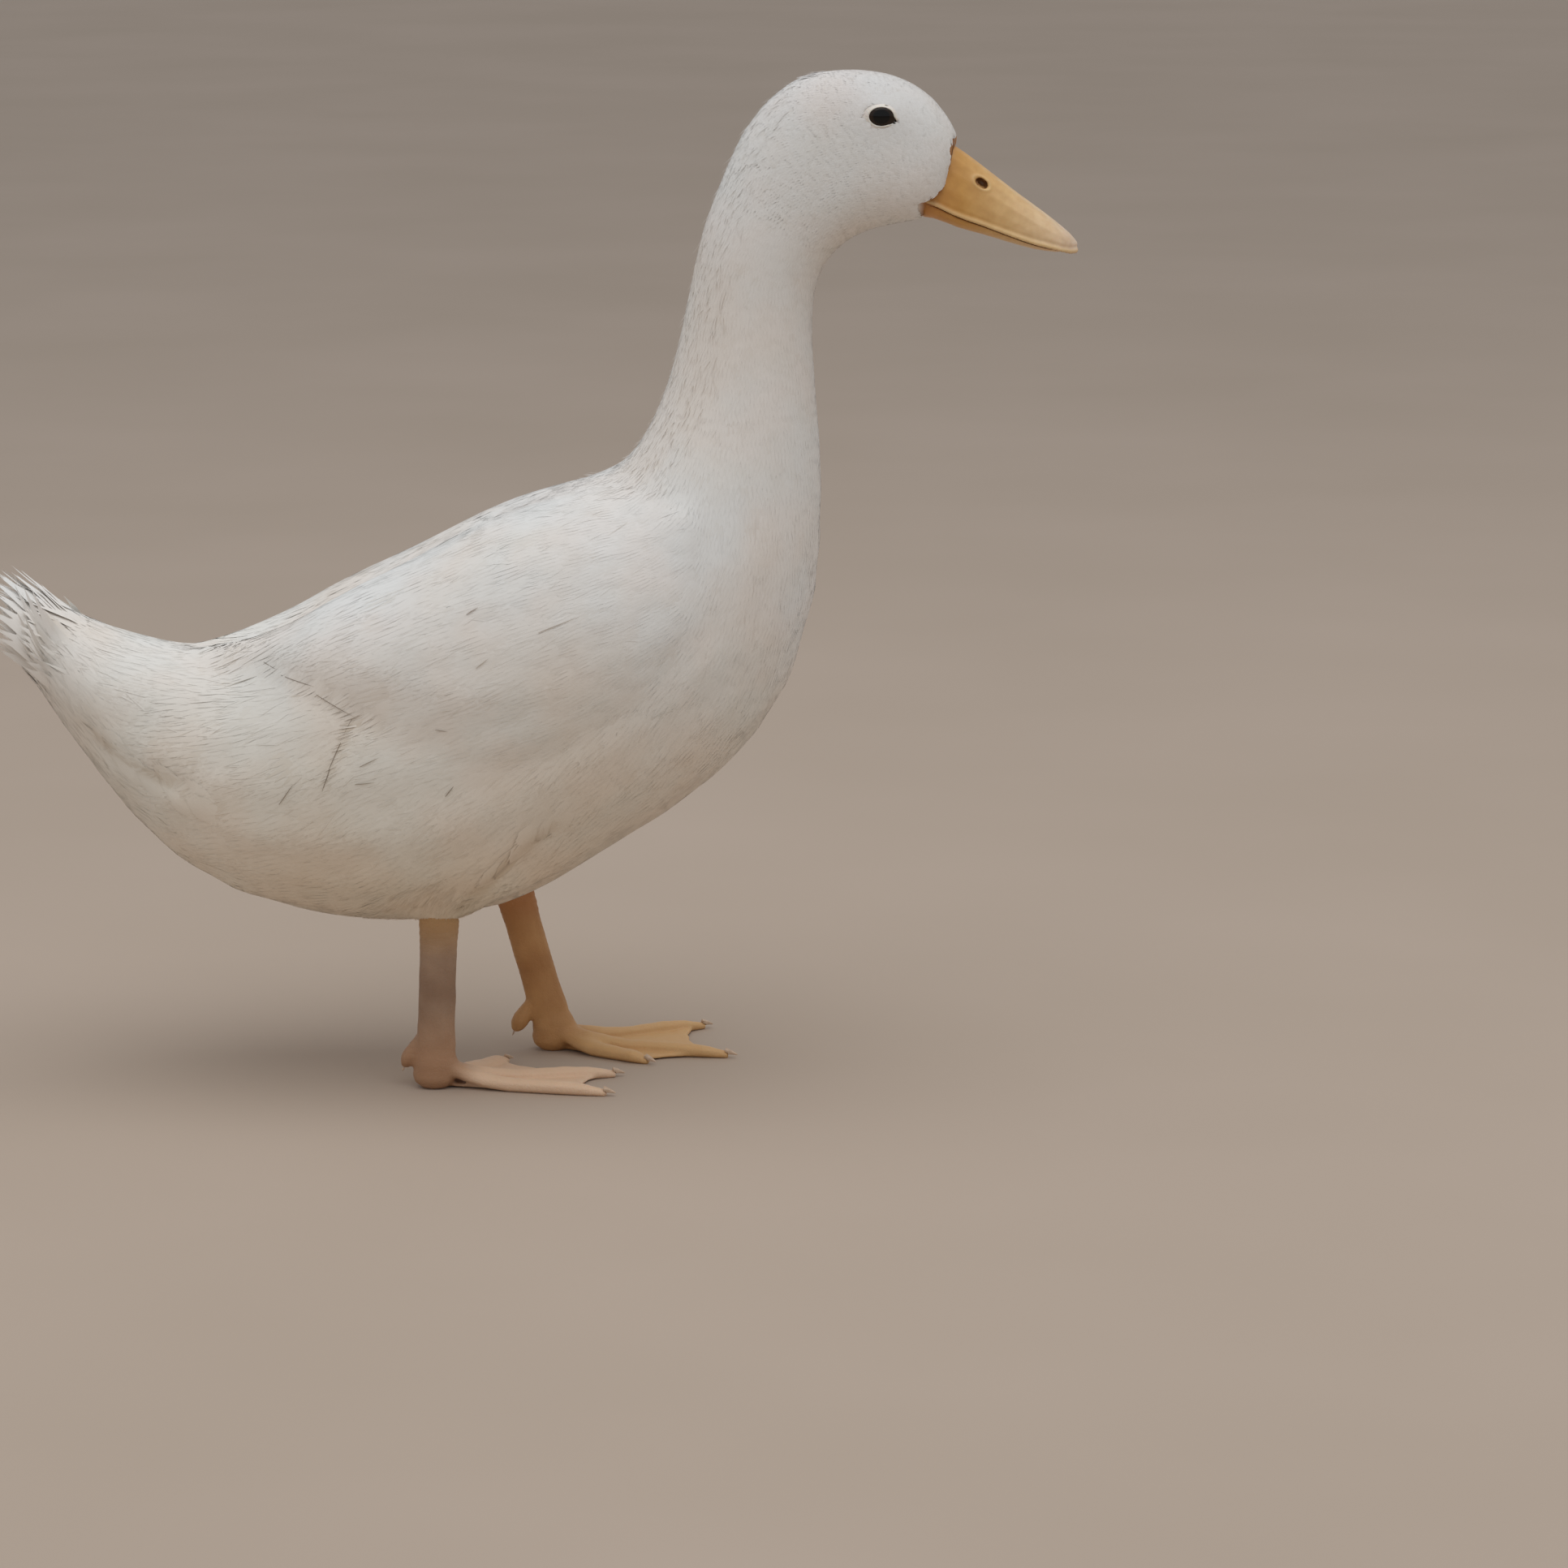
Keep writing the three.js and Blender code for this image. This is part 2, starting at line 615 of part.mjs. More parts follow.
for (const [name, leg] of Object.entries(LEGS)) {
  const limb = newGroup();
  const socket = shank(leg, GAP);
  const hind = hallux(leg).subtract(socket);
  const sole = foot(leg).simplify(SMOOTHING);
  trunk = trunk.subtract(thigh(leg, GAP)).subtract(socket);
  place(limb, `thigh_${name}`, thigh(leg).subtract(socket), PLUMAGE);
  place(limb, `shank_${name}`, shank(leg), SKIN);
  place(limb, `foot_${name}`, sole, SKIN);
  place(limb, `hind_toe_${name}`, hind, SKIN);
  for (const toeName of Object.keys(TOES)) {
    place(limb, `claw_${name}_${toeName}`, toeClaw(leg, toeName).subtract(sole), CLAW_HORN);
  }
  place(limb, `claw_${name}_hind`, halluxClaw(leg).subtract(hind), CLAW_HORN);
}

const torso = newGroup();
place(torso, "trunk", trunk, PLUMAGE);
place(torso, "tail", tail(body), PLUMAGE);
place(torso, "neck", stretch(body, NECK_CUT, HEAD_CUT), PLUMAGE);

for (const [name, side] of Object.entries({ left: LEFT, right: RIGHT })) {
  const folded = newGroup();
  const shell = wing(side, grownBody);
  place(folded, `wing_${name}_coverts`, stretch(shell, WING.cut, null), PLUMAGE);
  place(folded, `wing_${name}_flight`, stretch(shell, null, WING.cut), PLUMAGE);
}

const face = newGroup();
const upper = upperBill().subtract(nostril(LEFT)).subtract(nostril(RIGHT));
place(face, "head", head(body), PLUMAGE);
place(face, "bill_upper", upper, BILL);
place(face, "bill_lower", lowerBill(), BILL);
place(face, "eye_left", eye(LEFT), EYE_DARK);
place(face, "eye_right", eye(RIGHT), EYE_DARK);

// The origin is under the middle of the whole duck, on the floor.
const box = new THREE.Box3().setFromObject(duck);
const middle = box.getCenter(new THREE.Vector3());
duck.position.set(-middle.x, -middle.y, -box.min.z);

export default duck;
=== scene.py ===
import math

import bmesh
import bpy
import numpy as np
from mathutils import Matrix, Vector, noise as space_noise
from mathutils.bvhtree import BVHTree
from mathutils.kdtree import KDTree


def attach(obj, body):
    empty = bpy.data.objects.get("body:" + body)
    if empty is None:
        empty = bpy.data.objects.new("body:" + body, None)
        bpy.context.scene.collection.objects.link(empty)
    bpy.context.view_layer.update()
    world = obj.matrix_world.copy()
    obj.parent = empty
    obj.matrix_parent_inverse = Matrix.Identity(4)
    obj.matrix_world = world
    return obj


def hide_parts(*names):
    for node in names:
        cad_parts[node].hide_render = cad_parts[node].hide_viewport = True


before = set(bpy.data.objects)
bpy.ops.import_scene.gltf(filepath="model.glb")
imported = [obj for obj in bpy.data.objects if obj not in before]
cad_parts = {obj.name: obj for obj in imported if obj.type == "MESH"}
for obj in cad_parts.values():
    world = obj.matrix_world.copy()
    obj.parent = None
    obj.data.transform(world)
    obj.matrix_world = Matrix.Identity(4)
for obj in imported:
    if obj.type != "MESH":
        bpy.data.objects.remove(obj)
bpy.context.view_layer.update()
chance = np.random.default_rng(7)

MM = 0.001
SIDES = {"left": 1, "right": -1}
WINGS = [f"wing_{side}_{part}" for side in SIDES for part in ("coverts", "flight")]
FEATHERED = ["trunk", "neck", "head", *WINGS, "thigh_left", "thigh_right"]
LIMBS = [f"{part}_{side}" for side in SIDES for part in ("shank", "foot", "hind_toe")]

TAIL_END = Vector((-199, 0, 180)) * MM  # the flesh of the tail stops at this plane
TAIL_WAY = Vector((-0.7, 0, 0.714))
BILL_ROOT = Vector((166, 0, 371)) * MM  # the bill meets the skull here
HEAD_FROM = 330  # all above this height is the head
SHANK_TOP = 67  # the feathered part of the legs ends just above this height
OUTSIDE = 90  # beyond either flank
VOXELS = {"body": 2.4, "leg": 0.68, "bill": 0.5, "claw": 0.3}

# The body's middle line from the tail's end to the brow, as (x, z), and the coat at each of its points: how
# deep it is, and how long and how wide a feather
MIDDLE_LINE = [(-209, 194), (-179, 163), (-141, 139), (-85, 134), (-18, 150), (43, 183)]
MIDDLE_LINE += [(76, 223), (86, 290), (91, 339), (110, 369), (139, 382), (172, 376)]
COAT_DEPTH = [3.4, 3.6, 4, 4.4, 4.4, 4.2, 3.2, 2.4, 2.0, 1.4, 1.1, 0.8]
FEATHER_LENGTH = [38, 36, 31, 27, 25, 22, 16, 11, 8.5, 5.6, 4.6, 3.4]
FEATHER_WIDTH = [13, 13, 12, 12, 12, 10.5, 8, 5.2, 4.2, 2.8, 2.2, 1.7]
LINE_STEP = 0.05
NECK_BASE = 6.3  # the neck's place on the middle line

# The coat is thinner by a share near an eye, in lengths of its opening, and near the bill, in millimetres:
# that share, and where the thin coat begins and stops thickening
THIN_AT_EYE = (0.75, 1.2, 3.2)
THIN_AT_BILL = (0.5, 10, 24)

# On the thighs and round the eyes the coat is less by these shares, within a reach in millimetres round the
# hips, and in lengths of the eye's opening
THIGH_COAT = {"reach": 40, "length": 0.55, "width": 0.6, "depth": 0.4}
EYE_COAT = {"reach": 4, "length": 0.45, "width": 0.35}

# Feathers lie away from the bill near it, and fall by a share on the flanks, between these places
FACE_LIE = (14 * MM, 40 * MM)
FLANK_FALL = {"share": 0.4, "front": (20 * MM, 100 * MM), "rear": (-175 * MM, -120 * MM), "below": 230}
HANG_REACH = 42  # they hang down within this reach of the hips

# No feathers grow on the shanks, below the lowest root, or within a gap of the line where the face's end
BARE_LEG = {"below": 72, "beyond_y": 15, "reach": 8.5}
LOWEST_ROOT = 60
FACE_GAP = 0.2

# The coat of the folded wings: its depth, a feather's length and its fall on the way back by x, and its
# width as a share of its length
WING_DEPTH = 3.4
WING_LENGTHS = ([-130, -70, 50], [56, 52, 24])
WING_SLOPE = ([-150, -100, -50, 40], [0.12, 0.0, -0.36, -0.5])
WING_FEATHER = 0.26

EYE = {"x": 139.5, "y": 14.2, "z": 395.2, "radius": 7.3, "long": 1.15}
# How far the eyeball's rim is drawn in behind the lids, between two shares of the opening
EYE_TUCK = {"depth": 3, "between": (1.0, 1.45)}
# The lids: half the opening's size, how much further its front corner reaches, and that corner's place and
# width as angles from the way to the bill
LID = {"half_length": 5.1, "half_height": 3.85, "point": 0.4, "corner": -0.5, "corner_width": 0.3}
LID_STEPS = 72
# The rows of the lids' rim from the eyeball out: their share of the opening, how far they follow the eyeball
# rather than the skin, and how far they stand off it
LID_ROWS = [(0.9, 1.0, -0.45), (0.97, 1.0, 0.05), (1.01, 1.0, 0.35), (1.06, 0.8, 0.48), (1.12, 0.5, 0.4)]
LID_ROWS += [(1.21, 0.2, 0.12), (1.35, 0.0, 0.1), (1.6, 0.0, -0.02), (1.9, 0.0, -0.5)]
RIM_PALE = ([0, 1, 3, 5, 6], [0.3, 1, 1, 0.35, 0])  # how pale the rim is by row
# The skin sinks behind the eyeball within a share of the opening, and under the rim between two others
EYE_SINK = {"eyeball": 1.5, "within": 1.2, "rim": 1.0, "between": (1.25, 1.75), "beyond_y": 8}
EYE_BARE = 1.4  # no feathers grow within this share of the opening

# Where the face's feathers end beside the bill, as x by z, and how much further they reach along its ridge:
# between which distances from its middle that fades, and between which heights it starts
FEATHER_LINE = (
    [350, 355, 360, 361.8, 362.6, 365.2, 368.7, 373.9, 381.2, 386, 396],
    [158, 155, 154.5, 155.5, 159.5, 163.7, 165.6, 166.9, 167.2, 168.5, 173],
)
RIDGE_FEATHERS = {"further": 4.5, "half_width": (1, 4.5), "heights": (368, 378)}
BROW = (170, 0, 382)  # the feathers of the forehead bulge here, where they meet the bill's ridge
BROW_BULGE = {"reach": 5, "way": (1.1, 0, -0.3), "squash": (1, 0.8, 1)}
BILL_TUCK = {"depth": 0.9, "fade": 1.8}  # the skin under the bill's surface

# Creases of the plumage on each side, as (x, z), with how wide and deep each is
CREASES = {
    "thigh": ([(8, 114), (1, 108.7), (-10, 98.3), (-24, 84), (-30, 76)], 4.5, 2.2),
    "undertail": ([(-181, 150), (-167.5, 139.4), (-149.7, 131.4), (-138, 129)], 3.5, 1.6),
    "wing": ([(-106, 176), (-99, 172.5), (-84, 167.2), (-69.5, 160.3), (-60, 155)], 3.2, 1.4),
    "flank": ([(-69.5, 160.3), (-75, 149), (-79.5, 138.8), (-83, 131)], 3.2, 1.0),
}
# Painted shade along the creases: how much darker the feathers' tone is made there, the band's width as a
# share of the crease's, and how far out from the middle it starts, in millimetres
PAINTED_CREASE_SHADE = {"darker": 0.3, "width": 0.6, "beyond_y": 20}

# The soft ridges over the body's plumage: how high, how long, deep and wide they are, how much they fall
# tailward, and between which heights they fade
RIDGES = {"height": 0.9, "size": (48, 20, 15), "slant": 0.4, "fade": (210, 260)}

# Where each shank leaves the thigh, and how the feathers hang there
HIPS = {"left": (-14, 31, 75), "right": (-39.5, -31, 77)}
HANG_WAY = np.array([-0.22, 0, -1.0])
HIP_SHAPE = (1, 1, 0.75)  # what is near a hip reaches further up and down than sideways
HIP_CORE = 0.35  # the share of that reach within which all is near

# Where each foot's joint is, and the flesh that fills the notch between shank and toes there
JOINTS = {"left": (4, 33, 9), "right": (-42, -31, 9)}
JOINT_FILL = {"from_joint": (0.3, 0, 1), "radii": (9.2, 7.1, 9)}
SOLE = 0.4  # what lies below this height stays flat
SOFT_JOINT = {"from_z": (3, 7), "to_z": (15, 22), "from_x": (-10, -7), "rounds": 45}
# A line that slants between the feet parts the legs, and toes start between these distances from the joint
LEFT_LEG = {"between": (16 * MM, 20 * MM), "slant": 0.4}
TOES = {"from_joint": (6, 22), "below": 20}
# The folds of the legs' skin: their gap, height and wander, and where they show, as (z, reach, share). Lumps
# lie between them.
FOLDS = {"gap": 2.9, "height": 0.1, "wander": 4.4, "size": 9, "at": ((13, 7, 0.25), (66, 9, 0.9))}
LUMPS = {"size": 4.5, "height": 0.22, "squash": 0.6}
FOLDS_FROM = (0.6 * MM, 2 * MM)  # the folds start between these heights over the ground

# Painted shadows of gaps between barbs on the flank and the wing, as single dark barbs from (x, z) to (x, z)
PAINTED_BARB_SHADOWS = [
    ((-34.3, 129.9), (-31.3, 133.6)),
    ((-67.5, 140.5), (-60.7, 144.1)),
    ((-99.9, 125.3), (-94.9, 131.6)),
    ((-37.2, 157.3), (-33.0, 156.7)),
    ((-69.6, 134.2), (-63.4, 135.5)),
    ((-20.8, 180.7), (-16.5, 184.3)),
    ((-24.4, 200.0), (-20.5, 202.6)),
    ((3.9, 194.4), (16.2, 199.4)),
]

# The tail's feathers, those inside it, and the shorter ones over their roots, lie side by side on arcs over
# the middle one, which runs from root to tip. Those in between reach further back, by their share of the way
# round. The layers inside are shares of the outer one's size.
TAIL = {
    "feathers": 8,
    "arc": 1.5,
    "root": (-152, 0, 165.5),
    "root_radius": 13,
    "tip": (-213, 0, 211.5),
    "tip_radius": 26,
    "further": ([0, 0.45, 1], [0, -8, -7]),
    "half_width": 8,
}
TAIL_INSIDE = {"feathers": 9, "arc": 1.8, "further": ([0, 1], [-6, -8]), "half_width": 6.5}
INSIDE_SHARES = (0.92, 0.76, 0.56, 0.36, 0.16)
TAIL_COVERTS = {
    "feathers": 13,
    "arc": 1.75,
    "root": (-163, 0, 173),
    "root_radius": 20.5,
    "tip": (-203, 0, 204),
    "tip_radius": 25.2,
    "further": ([0, 0.5, 1], [0, -6, -4]),
    "half_width": 5.5,
}
TAIL_WIDTHS = ([0, 0.45, 0.75, 0.9, 1], [0.6, 1, 0.85, 0.5, 0.25])  # a feather's width along it
TAIL_LIMIT = ([150, 185], [208, 217])  # how far back the coat may reach, by z
# How the tail's feathers vary: how far they turn, how ragged their ends are and from where on, their length,
# how they fray, how much they bow across and along and lie over the next, and how light they are
TAIL_STYLE = {"turn": 0.03, "ragged": 0.012, "ragged_from": (0.72, 0.95), "vary": (0.95, 1.02)}
TAIL_STYLE |= {"fray": 0.03, "camber": 0.8, "arch": 6, "over": 0.3, "tilt": 0.2}
TAIL_STYLE |= {"tone": 0.75, "tones": 0.1, "barb_tones": 0.06}


# Numbers


def unit(vectors):
    """Vectors at length one."""
    return vectors / np.maximum(np.linalg.norm(vectors, axis=-1, keepdims=True), 1e-12)


def dot(one, two):
    return (one * two).sum(-1, keepdims=True)


def smoothstep(low, high, values):
    """0 below low, 1 above high, and smooth between them."""
    part = np.clip((values - low) / (high - low), 0, 1)
    return part * part * (3 - 2 * part)


def fade(low, high, values):
    """1 below low, 0 above high, and smooth between them."""
    return 1 - smoothstep(low, high, values)


def bell(values):
    """1 at zero, and less and less away from it."""
    return np.exp(-(values**2))


def blend(one, two, share):
    """Rows of numbers moved from one to two by each row's share."""
    return one * (1 - share[:, None]) + two * share[:, None]


def relax(points, edges, rounds, share=0.5):
    """Points, or any values of them, moved towards the mean of their neighbours."""
    number = len(points)
    ends = np.concatenate([edges[:, 0], edges[:, 1]])
    others = np.concatenate([edges[:, 1], edges[:, 0]])
    count = np.maximum(np.bincount(ends, minlength=number), 1)[:, None]
    for _ in range(rounds):
        sums = [np.bincount(ends, points[others, axis], number) for axis in range(points.shape[1])]
        points = points + (np.stack(sums, 1) / count - points) * share
    return points


def path_distance(points, path):
    """How far points are from a path in the x-z plane, in metres."""
    flat = points[:, [0, 2]]
    nearest = np.full(len(points), np.inf)
    corners = np.array(path) * MM
    for start, end in zip(corners[:-1], corners[1:]):
        ahead = end - start
        part = np.clip(((flat - start) @ ahead) / (ahead @ ahead), 0, 1)
        gap = np.linalg.norm(flat - start - part[:, None] * ahead, axis=1)
        nearest = np.minimum(nearest, gap)
    return nearest


# Meshes


def numbers(items, name, width, kind=np.float32):
    """A few numbers of each item, as rows of an array."""
    found = np.empty(len(items) * width, kind)
    items.foreach_get(name, found)
    return found.reshape(-1, width)


def points_of(mesh):
    return numbers(mesh.vertices, "co", 3).astype(float)


def normals_of(mesh):
    return numbers(mesh.vertex_normals, "vector", 3).astype(float)


def edges_of(mesh):
    return numbers(mesh.edges, "vertices", 2, np.int32)


def move_points(mesh, points):
    mesh.vertices.foreach_set("co", points.astype(np.float32).ravel())
    mesh.update()


def new_object(name, mesh):
    made = bpy.data.objects.new(name, mesh)
    bpy.context.scene.collection.objects.link(made)
    return made


def mesh_of(name, points, triangles):
    """A smooth mesh from an array of points and one of triangles."""
    mesh = bpy.data.meshes.new(name)
    mesh.vertices.add(len(points))
    mesh.vertices.foreach_set("co", points.astype(np.float32).ravel())
    mesh.loops.add(3 * len(triangles))
    mesh.loops.foreach_set("vertex_index", triangles.astype(np.int32).ravel())
    mesh.polygons.add(len(triangles))
    mesh.polygons.foreach_set("loop_start", np.arange(0, 3 * len(triangles), 3, dtype=np.int32))
    smooth(mesh)
    mesh.update(calc_edges=True)
    return mesh


def smooth(mesh):
    mesh.polygons.foreach_set("use_smooth", np.ones(len(mesh.polygons), bool))


def add_values(mesh, name, values):
    layer = mesh.attributes.new(name, "FLOAT", "POINT")
    layer.data.foreach_set("value", values.astype(np.float32))


def add_node(shape, node, keep=None):
    """Adds a CAD node's solid to a bmesh, cut off beyond keep, a plane's point and direction."""
    piece = bmesh.new()
    piece.from_mesh(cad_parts[node].data)
    bmesh.ops.remove_doubles(piece, verts=piece.verts, dist=1e-6)
    if keep:
        everything = piece.verts[:] + piece.edges[:] + piece.faces[:]
        point, away = keep
        bmesh.ops.bisect_plane(piece, geom=everything, plane_co=point, plane_no=away, clear_outer=True)
        bmesh.ops.holes_fill(piece, edges=[e for e in piece.edges if e.is_boundary], sides=0)
    cut = bpy.data.meshes.new("cut")
    piece.to_mesh(cut)
    piece.free()
    shape.from_mesh(cut)
    bpy.data.meshes.remove(cut)


def solids(nodes):
    """The solids of some CAD nodes together as a bmesh."""
    shape = bmesh.new()
    for node in nodes:
        add_node(shape, node)
    return shape


def solid_tree(nodes):
    """A search tree over the solids of some CAD nodes."""
    shape = solids(nodes)
    tree = BVHTree.FromBMesh(shape)
    shape.free()
    return tree


def evaluated(made):
    """An object's mesh with its modifiers applied. The object is removed."""
    graph = bpy.context.evaluated_depsgraph_get()
    mesh = bpy.data.meshes.new_from_object(made.evaluated_get(graph))
    bpy.data.objects.remove(made)
    return mesh


def remeshed(shape, size):
    """A bmesh of overlapping solids as the mesh of the biggest outer surface."""
    rough = bpy.data.meshes.new("rough")
    shape.to_mesh(rough)
    shape.free()
    made = new_object("rough", rough)
    remesh = made.modifiers.new("remesh", "REMESH")
    remesh.mode = "VOXEL"
    remesh.voxel_size = size * MM
    mesh = evaluated(made)
    largest_part(mesh)
    return mesh


def largest_part(mesh):
    """Removes all but the biggest connected part of a mesh."""
    shape = bmesh.new()
    shape.from_mesh(mesh)
    left = set(shape.verts)
    parts = []
    while left:
        part = [left.pop()]
        for vertex in part:
            near = {edge.other_vert(vertex) for edge in vertex.link_edges} & left
            left -= near
            part.extend(near)
        parts.append(part)
    parts.sort(key=len)
    bmesh.ops.delete(shape, geom=[v for part in parts[:-1] for v in part], context="VERTS")
    shape.to_mesh(mesh)
    shape.free()


# The middle line


def middle_line():
    """Points close together along the middle line, and their places counted in MIDDLE_LINE's points."""
    controls = np.array([(x, 0, z) for x, z in MIDDLE_LINE]) * MM
    padded = np.vstack([2 * controls[0] - controls[1], controls, 2 * controls[-1] - controls[-2]])
    places = np.arange(0, len(controls) - 1, LINE_STEP)
    first = places.astype(int)
    part = (places - first)[:, None]
    a, b, c, d = (padded[first + k] for k in range(4))
    bend = (2 * a - 5 * b + 4 * c - d) * part**2 + (3 * b - a - 3 * c + d) * part**3
    return b + 0.5 * ((c - a) * part + bend), places


LINE, LINE_PLACES = middle_line()
LINE_RUN = np.gradient(LINE, axis=0)
LINE_WAYS = unit(LINE_RUN)
BLOCK = 20000  # points looked up at a time


def along_line(points):
    """For points: their place along the middle line, the line's point and its way there."""
    blocks = [points[start : start + BLOCK, None] - LINE for start in range(0, len(points), BLOCK)]
    nearest = np.concatenate([np.argmin((block**2).sum(2), axis=1) for block in blocks])
    ahead = dot(points - LINE[nearest], LINE_WAYS[nearest])[:, 0]
    part = np.clip(ahead / np.linalg.norm(LINE_RUN[nearest], axis=1), -0.5, 0.5)
    return LINE_PLACES[nearest] + part * LINE_STEP, LINE[nearest], LINE_WAYS[nearest]


def by_place(values, places):
    return np.interp(places, np.arange(len(values)), values) * MM


def unwrapped(points):
    """Points of the skin on a map of it: the angle round the middle line, and the place along it."""
    places, centres, ways = along_line(points)
    out = unit(points - centres)
    up = np.cross(ways, [0, 1, 0])
    turn = np.arctan2(out[:, 1], -(up * out).sum(1)) / (2 * math.pi) + 0.5
    return np.stack([turn, places], 1)


# Parts of the body


def on_head(points):
    return points[:, 2] > HEAD_FROM * MM


def from_bill(points):
    return points - np.array(BILL_ROOT)


def lid_reach(turns):
    """How much further the lids' opening reaches at angles round the eye: it's drawn out to one corner."""
    off = np.angle(np.exp(1j * (turns - LID["corner"])))
    return 1 + LID["point"] * bell(off / LID["corner_width"])


def eye_distance(points):
    """How far points are from an eye's middle as seen from the side. The lids meet at 1."""
    x = (points[:, 0] / MM - EYE["x"]) / LID["half_length"]
    z = (points[:, 2] / MM - EYE["z"]) / LID["half_height"]
    return np.hypot(x, z) / lid_reach(np.arctan2(z, x))


def eyeball_y(x, z):
    """How far out the eyeball's surface is at a place seen from the side, in millimetres."""
    part = ((x - EYE["x"]) / EYE["long"]) ** 2 + (z - EYE["z"]) ** 2
    return EYE["y"] + np.sqrt(np.maximum(EYE["radius"] ** 2 - part, 0))


WING_TREE = solid_tree(WINGS)


def on_wing(points):
    """1 on the folded wings, 0 away from them."""
    far = [WING_TREE.find_nearest(point)[3] for point in points.tolist()]
    return fade(2 * MM, 7 * MM, np.array(far)) * (np.abs(points[:, 1]) > 12 * MM)


def near_hips(points, reach):
    """1 close to where a shank leaves its thigh, 0 beyond reach of it."""
    near = np.zeros(len(points))
    for hip in HIPS.values():
        far = np.linalg.norm((points / MM - np.array(hip)) * HIP_SHAPE, axis=1)
        near = np.maximum(near, fade(HIP_CORE * reach, reach, far))
    return near


def on_left_leg(points):
    """1 on the left leg, 0 on the right one: a slanting line between the feet parts them."""
    return smoothstep(*LEFT_LEG["between"], points[:, 1] + LEFT_LEG["slant"] * points[:, 0])


def on_toes(points):
    """1 on the toes and webs, 0 on the shanks and the joints under them."""
    from_joints = []
    for joint in JOINTS.values():
        x, y = points[:, 0] / MM - joint[0], points[:, 1] / MM - joint[1]
        from_joints.append(np.where(x > 0, np.hypot(x, y), 0))
    near = np.where(on_left_leg(points) > 0.5, *from_joints)
    return smoothstep(*TOES["from_joint"], near) * (points[:, 2] < TOES["below"] * MM)


def coat_depth(points):
    """How deep the coat is over each point of the skin."""
    depth = by_place(COAT_DEPTH, along_line(points)[0])
    face = on_head(points)
    thin, low, high = THIN_AT_EYE
    depth = depth * (1 - thin * fade(low, high, eye_distance(points)) * face)
    thin, low, high = THIN_AT_BILL
    far = np.linalg.norm(from_bill(points), axis=1)
    depth = depth * (1 - thin * fade(low * MM, high * MM, far) * face)
    wing = on_wing(points)
    return depth * (1 - wing) + WING_DEPTH * MM * wing


def creased(points, name, width):
    """1 on a crease of the plumage, 0 beyond about its width in millimetres. The thigh's is on the right."""
    near = bell(path_distance(points, CREASES[name][0]) / (width * MM))
    return near * (points[:, 1] < 0) if name == "thigh" else near


def ahead_of_feathers(points):
    """How far points are ahead of the line where the face's feathers end, in metres."""
    x, y, z = points.T / MM
    on_ridge = fade(*RIDGE_FEATHERS["half_width"], np.abs(y)) * smoothstep(*RIDGE_FEATHERS["heights"], z)
    return (x - np.interp(z, *FEATHER_LINE) - RIDGE_FEATHERS["further"] * on_ridge) * MM


def feathered(points):
    """True where feathers grow, and not on the lids, under the bill or on the shanks."""
    bare = (points[:, 2] < BARE_LEG["below"] * MM) & (np.abs(points[:, 1]) > BARE_LEG["beyond_y"] * MM)
    to_hips = [np.linalg.norm((points / MM - np.array(hip))[:, :2], axis=1) for hip in HIPS.values()]
    bare &= np.minimum(*to_hips) < BARE_LEG["reach"]
    on_face = (ahead_of_feathers(points) < -FACE_GAP * MM) & (eye_distance(points) > EYE_BARE)
    return ~bare & (points[:, 2] > LOWEST_ROOT * MM) & (~on_head(points) | on_face)


# The skin


def body_skin():
    """The feathered body's skin, inside the solids by the coat's depth."""
    shape = solids(FEATHERED)
    add_node(shape, "tail", (TAIL_END, TAIL_WAY))
    for node in ("bill_upper", "bill_lower"):
        add_node(shape, node, (BILL_ROOT, Vector((1, 0, 0))))
    for side in SIDES:
        add_node(shape, f"eye_{side}")
        add_node(shape, f"shank_{side}", (Vector((0, 0, SHANK_TOP * MM)), Vector((0, 0, -1))))
    mesh = remeshed(shape, VOXELS["body"])
    edges = edges_of(mesh)
    move_points(mesh, relax(points_of(mesh), edges, 5))
    points = points_of(mesh) - normals_of(mesh) * coat_depth(points_of(mesh))[:, None]
    points = relax(points, edges, 5)
    move_points(mesh, blend(points, relax(points, edges, 25), near_hips(points, 45)))
    normals = relax(normals_of(mesh), edges, 5)
    points = points_of(mesh)
    points = points + normals * np.array([ridge(point) for point in points.tolist()])[:, None]
    for name, (_, width, depth) in CREASES.items():
        sunk = depth * MM * creased(points, name, width) * smoothstep(0.2, 0.6, np.abs(normals[:, 1]))
        points = points - normals * sunk[:, None]
    move_points(mesh, points)
    return mesh


def ridge(point):
    """How far the plumage stands out at a point: long soft ridges that run tailward and down."""
    x, y, z = (value / MM for value in point)
    slant = RIDGES["slant"]
    place = np.array([x + slant * z, y, z - slant * x]) / RIDGES["size"]
    on_body = float(fade(*RIDGES["fade"], z))
    return RIDGES["height"] * space_noise.noise(Vector(place)) * on_body * MM


def sink_round_eyes(mesh):
    """Pushes the skin in behind the eyeballs and under the lids' rims."""
    points = points_of(mesh)
    near = eye_distance(points)
    out = np.abs(points[:, 1])
    start, end = EYE_SINK["between"]
    face = on_head(points) & (out > EYE_SINK["beyond_y"] * MM) & (near < end)
    under_rim = out - EYE_SINK["rim"] * MM * fade(start, end, near)
    behind = (eyeball_y(points[:, 0] / MM, points[:, 2] / MM) - EYE_SINK["eyeball"]) * MM
    sunk = np.where(near < EYE_SINK["within"], np.minimum(under_rim, behind), under_rim)
    points[:, 1] = np.where(face, np.sign(points[:, 1]) * sunk, points[:, 1])
    move_points(mesh, points)


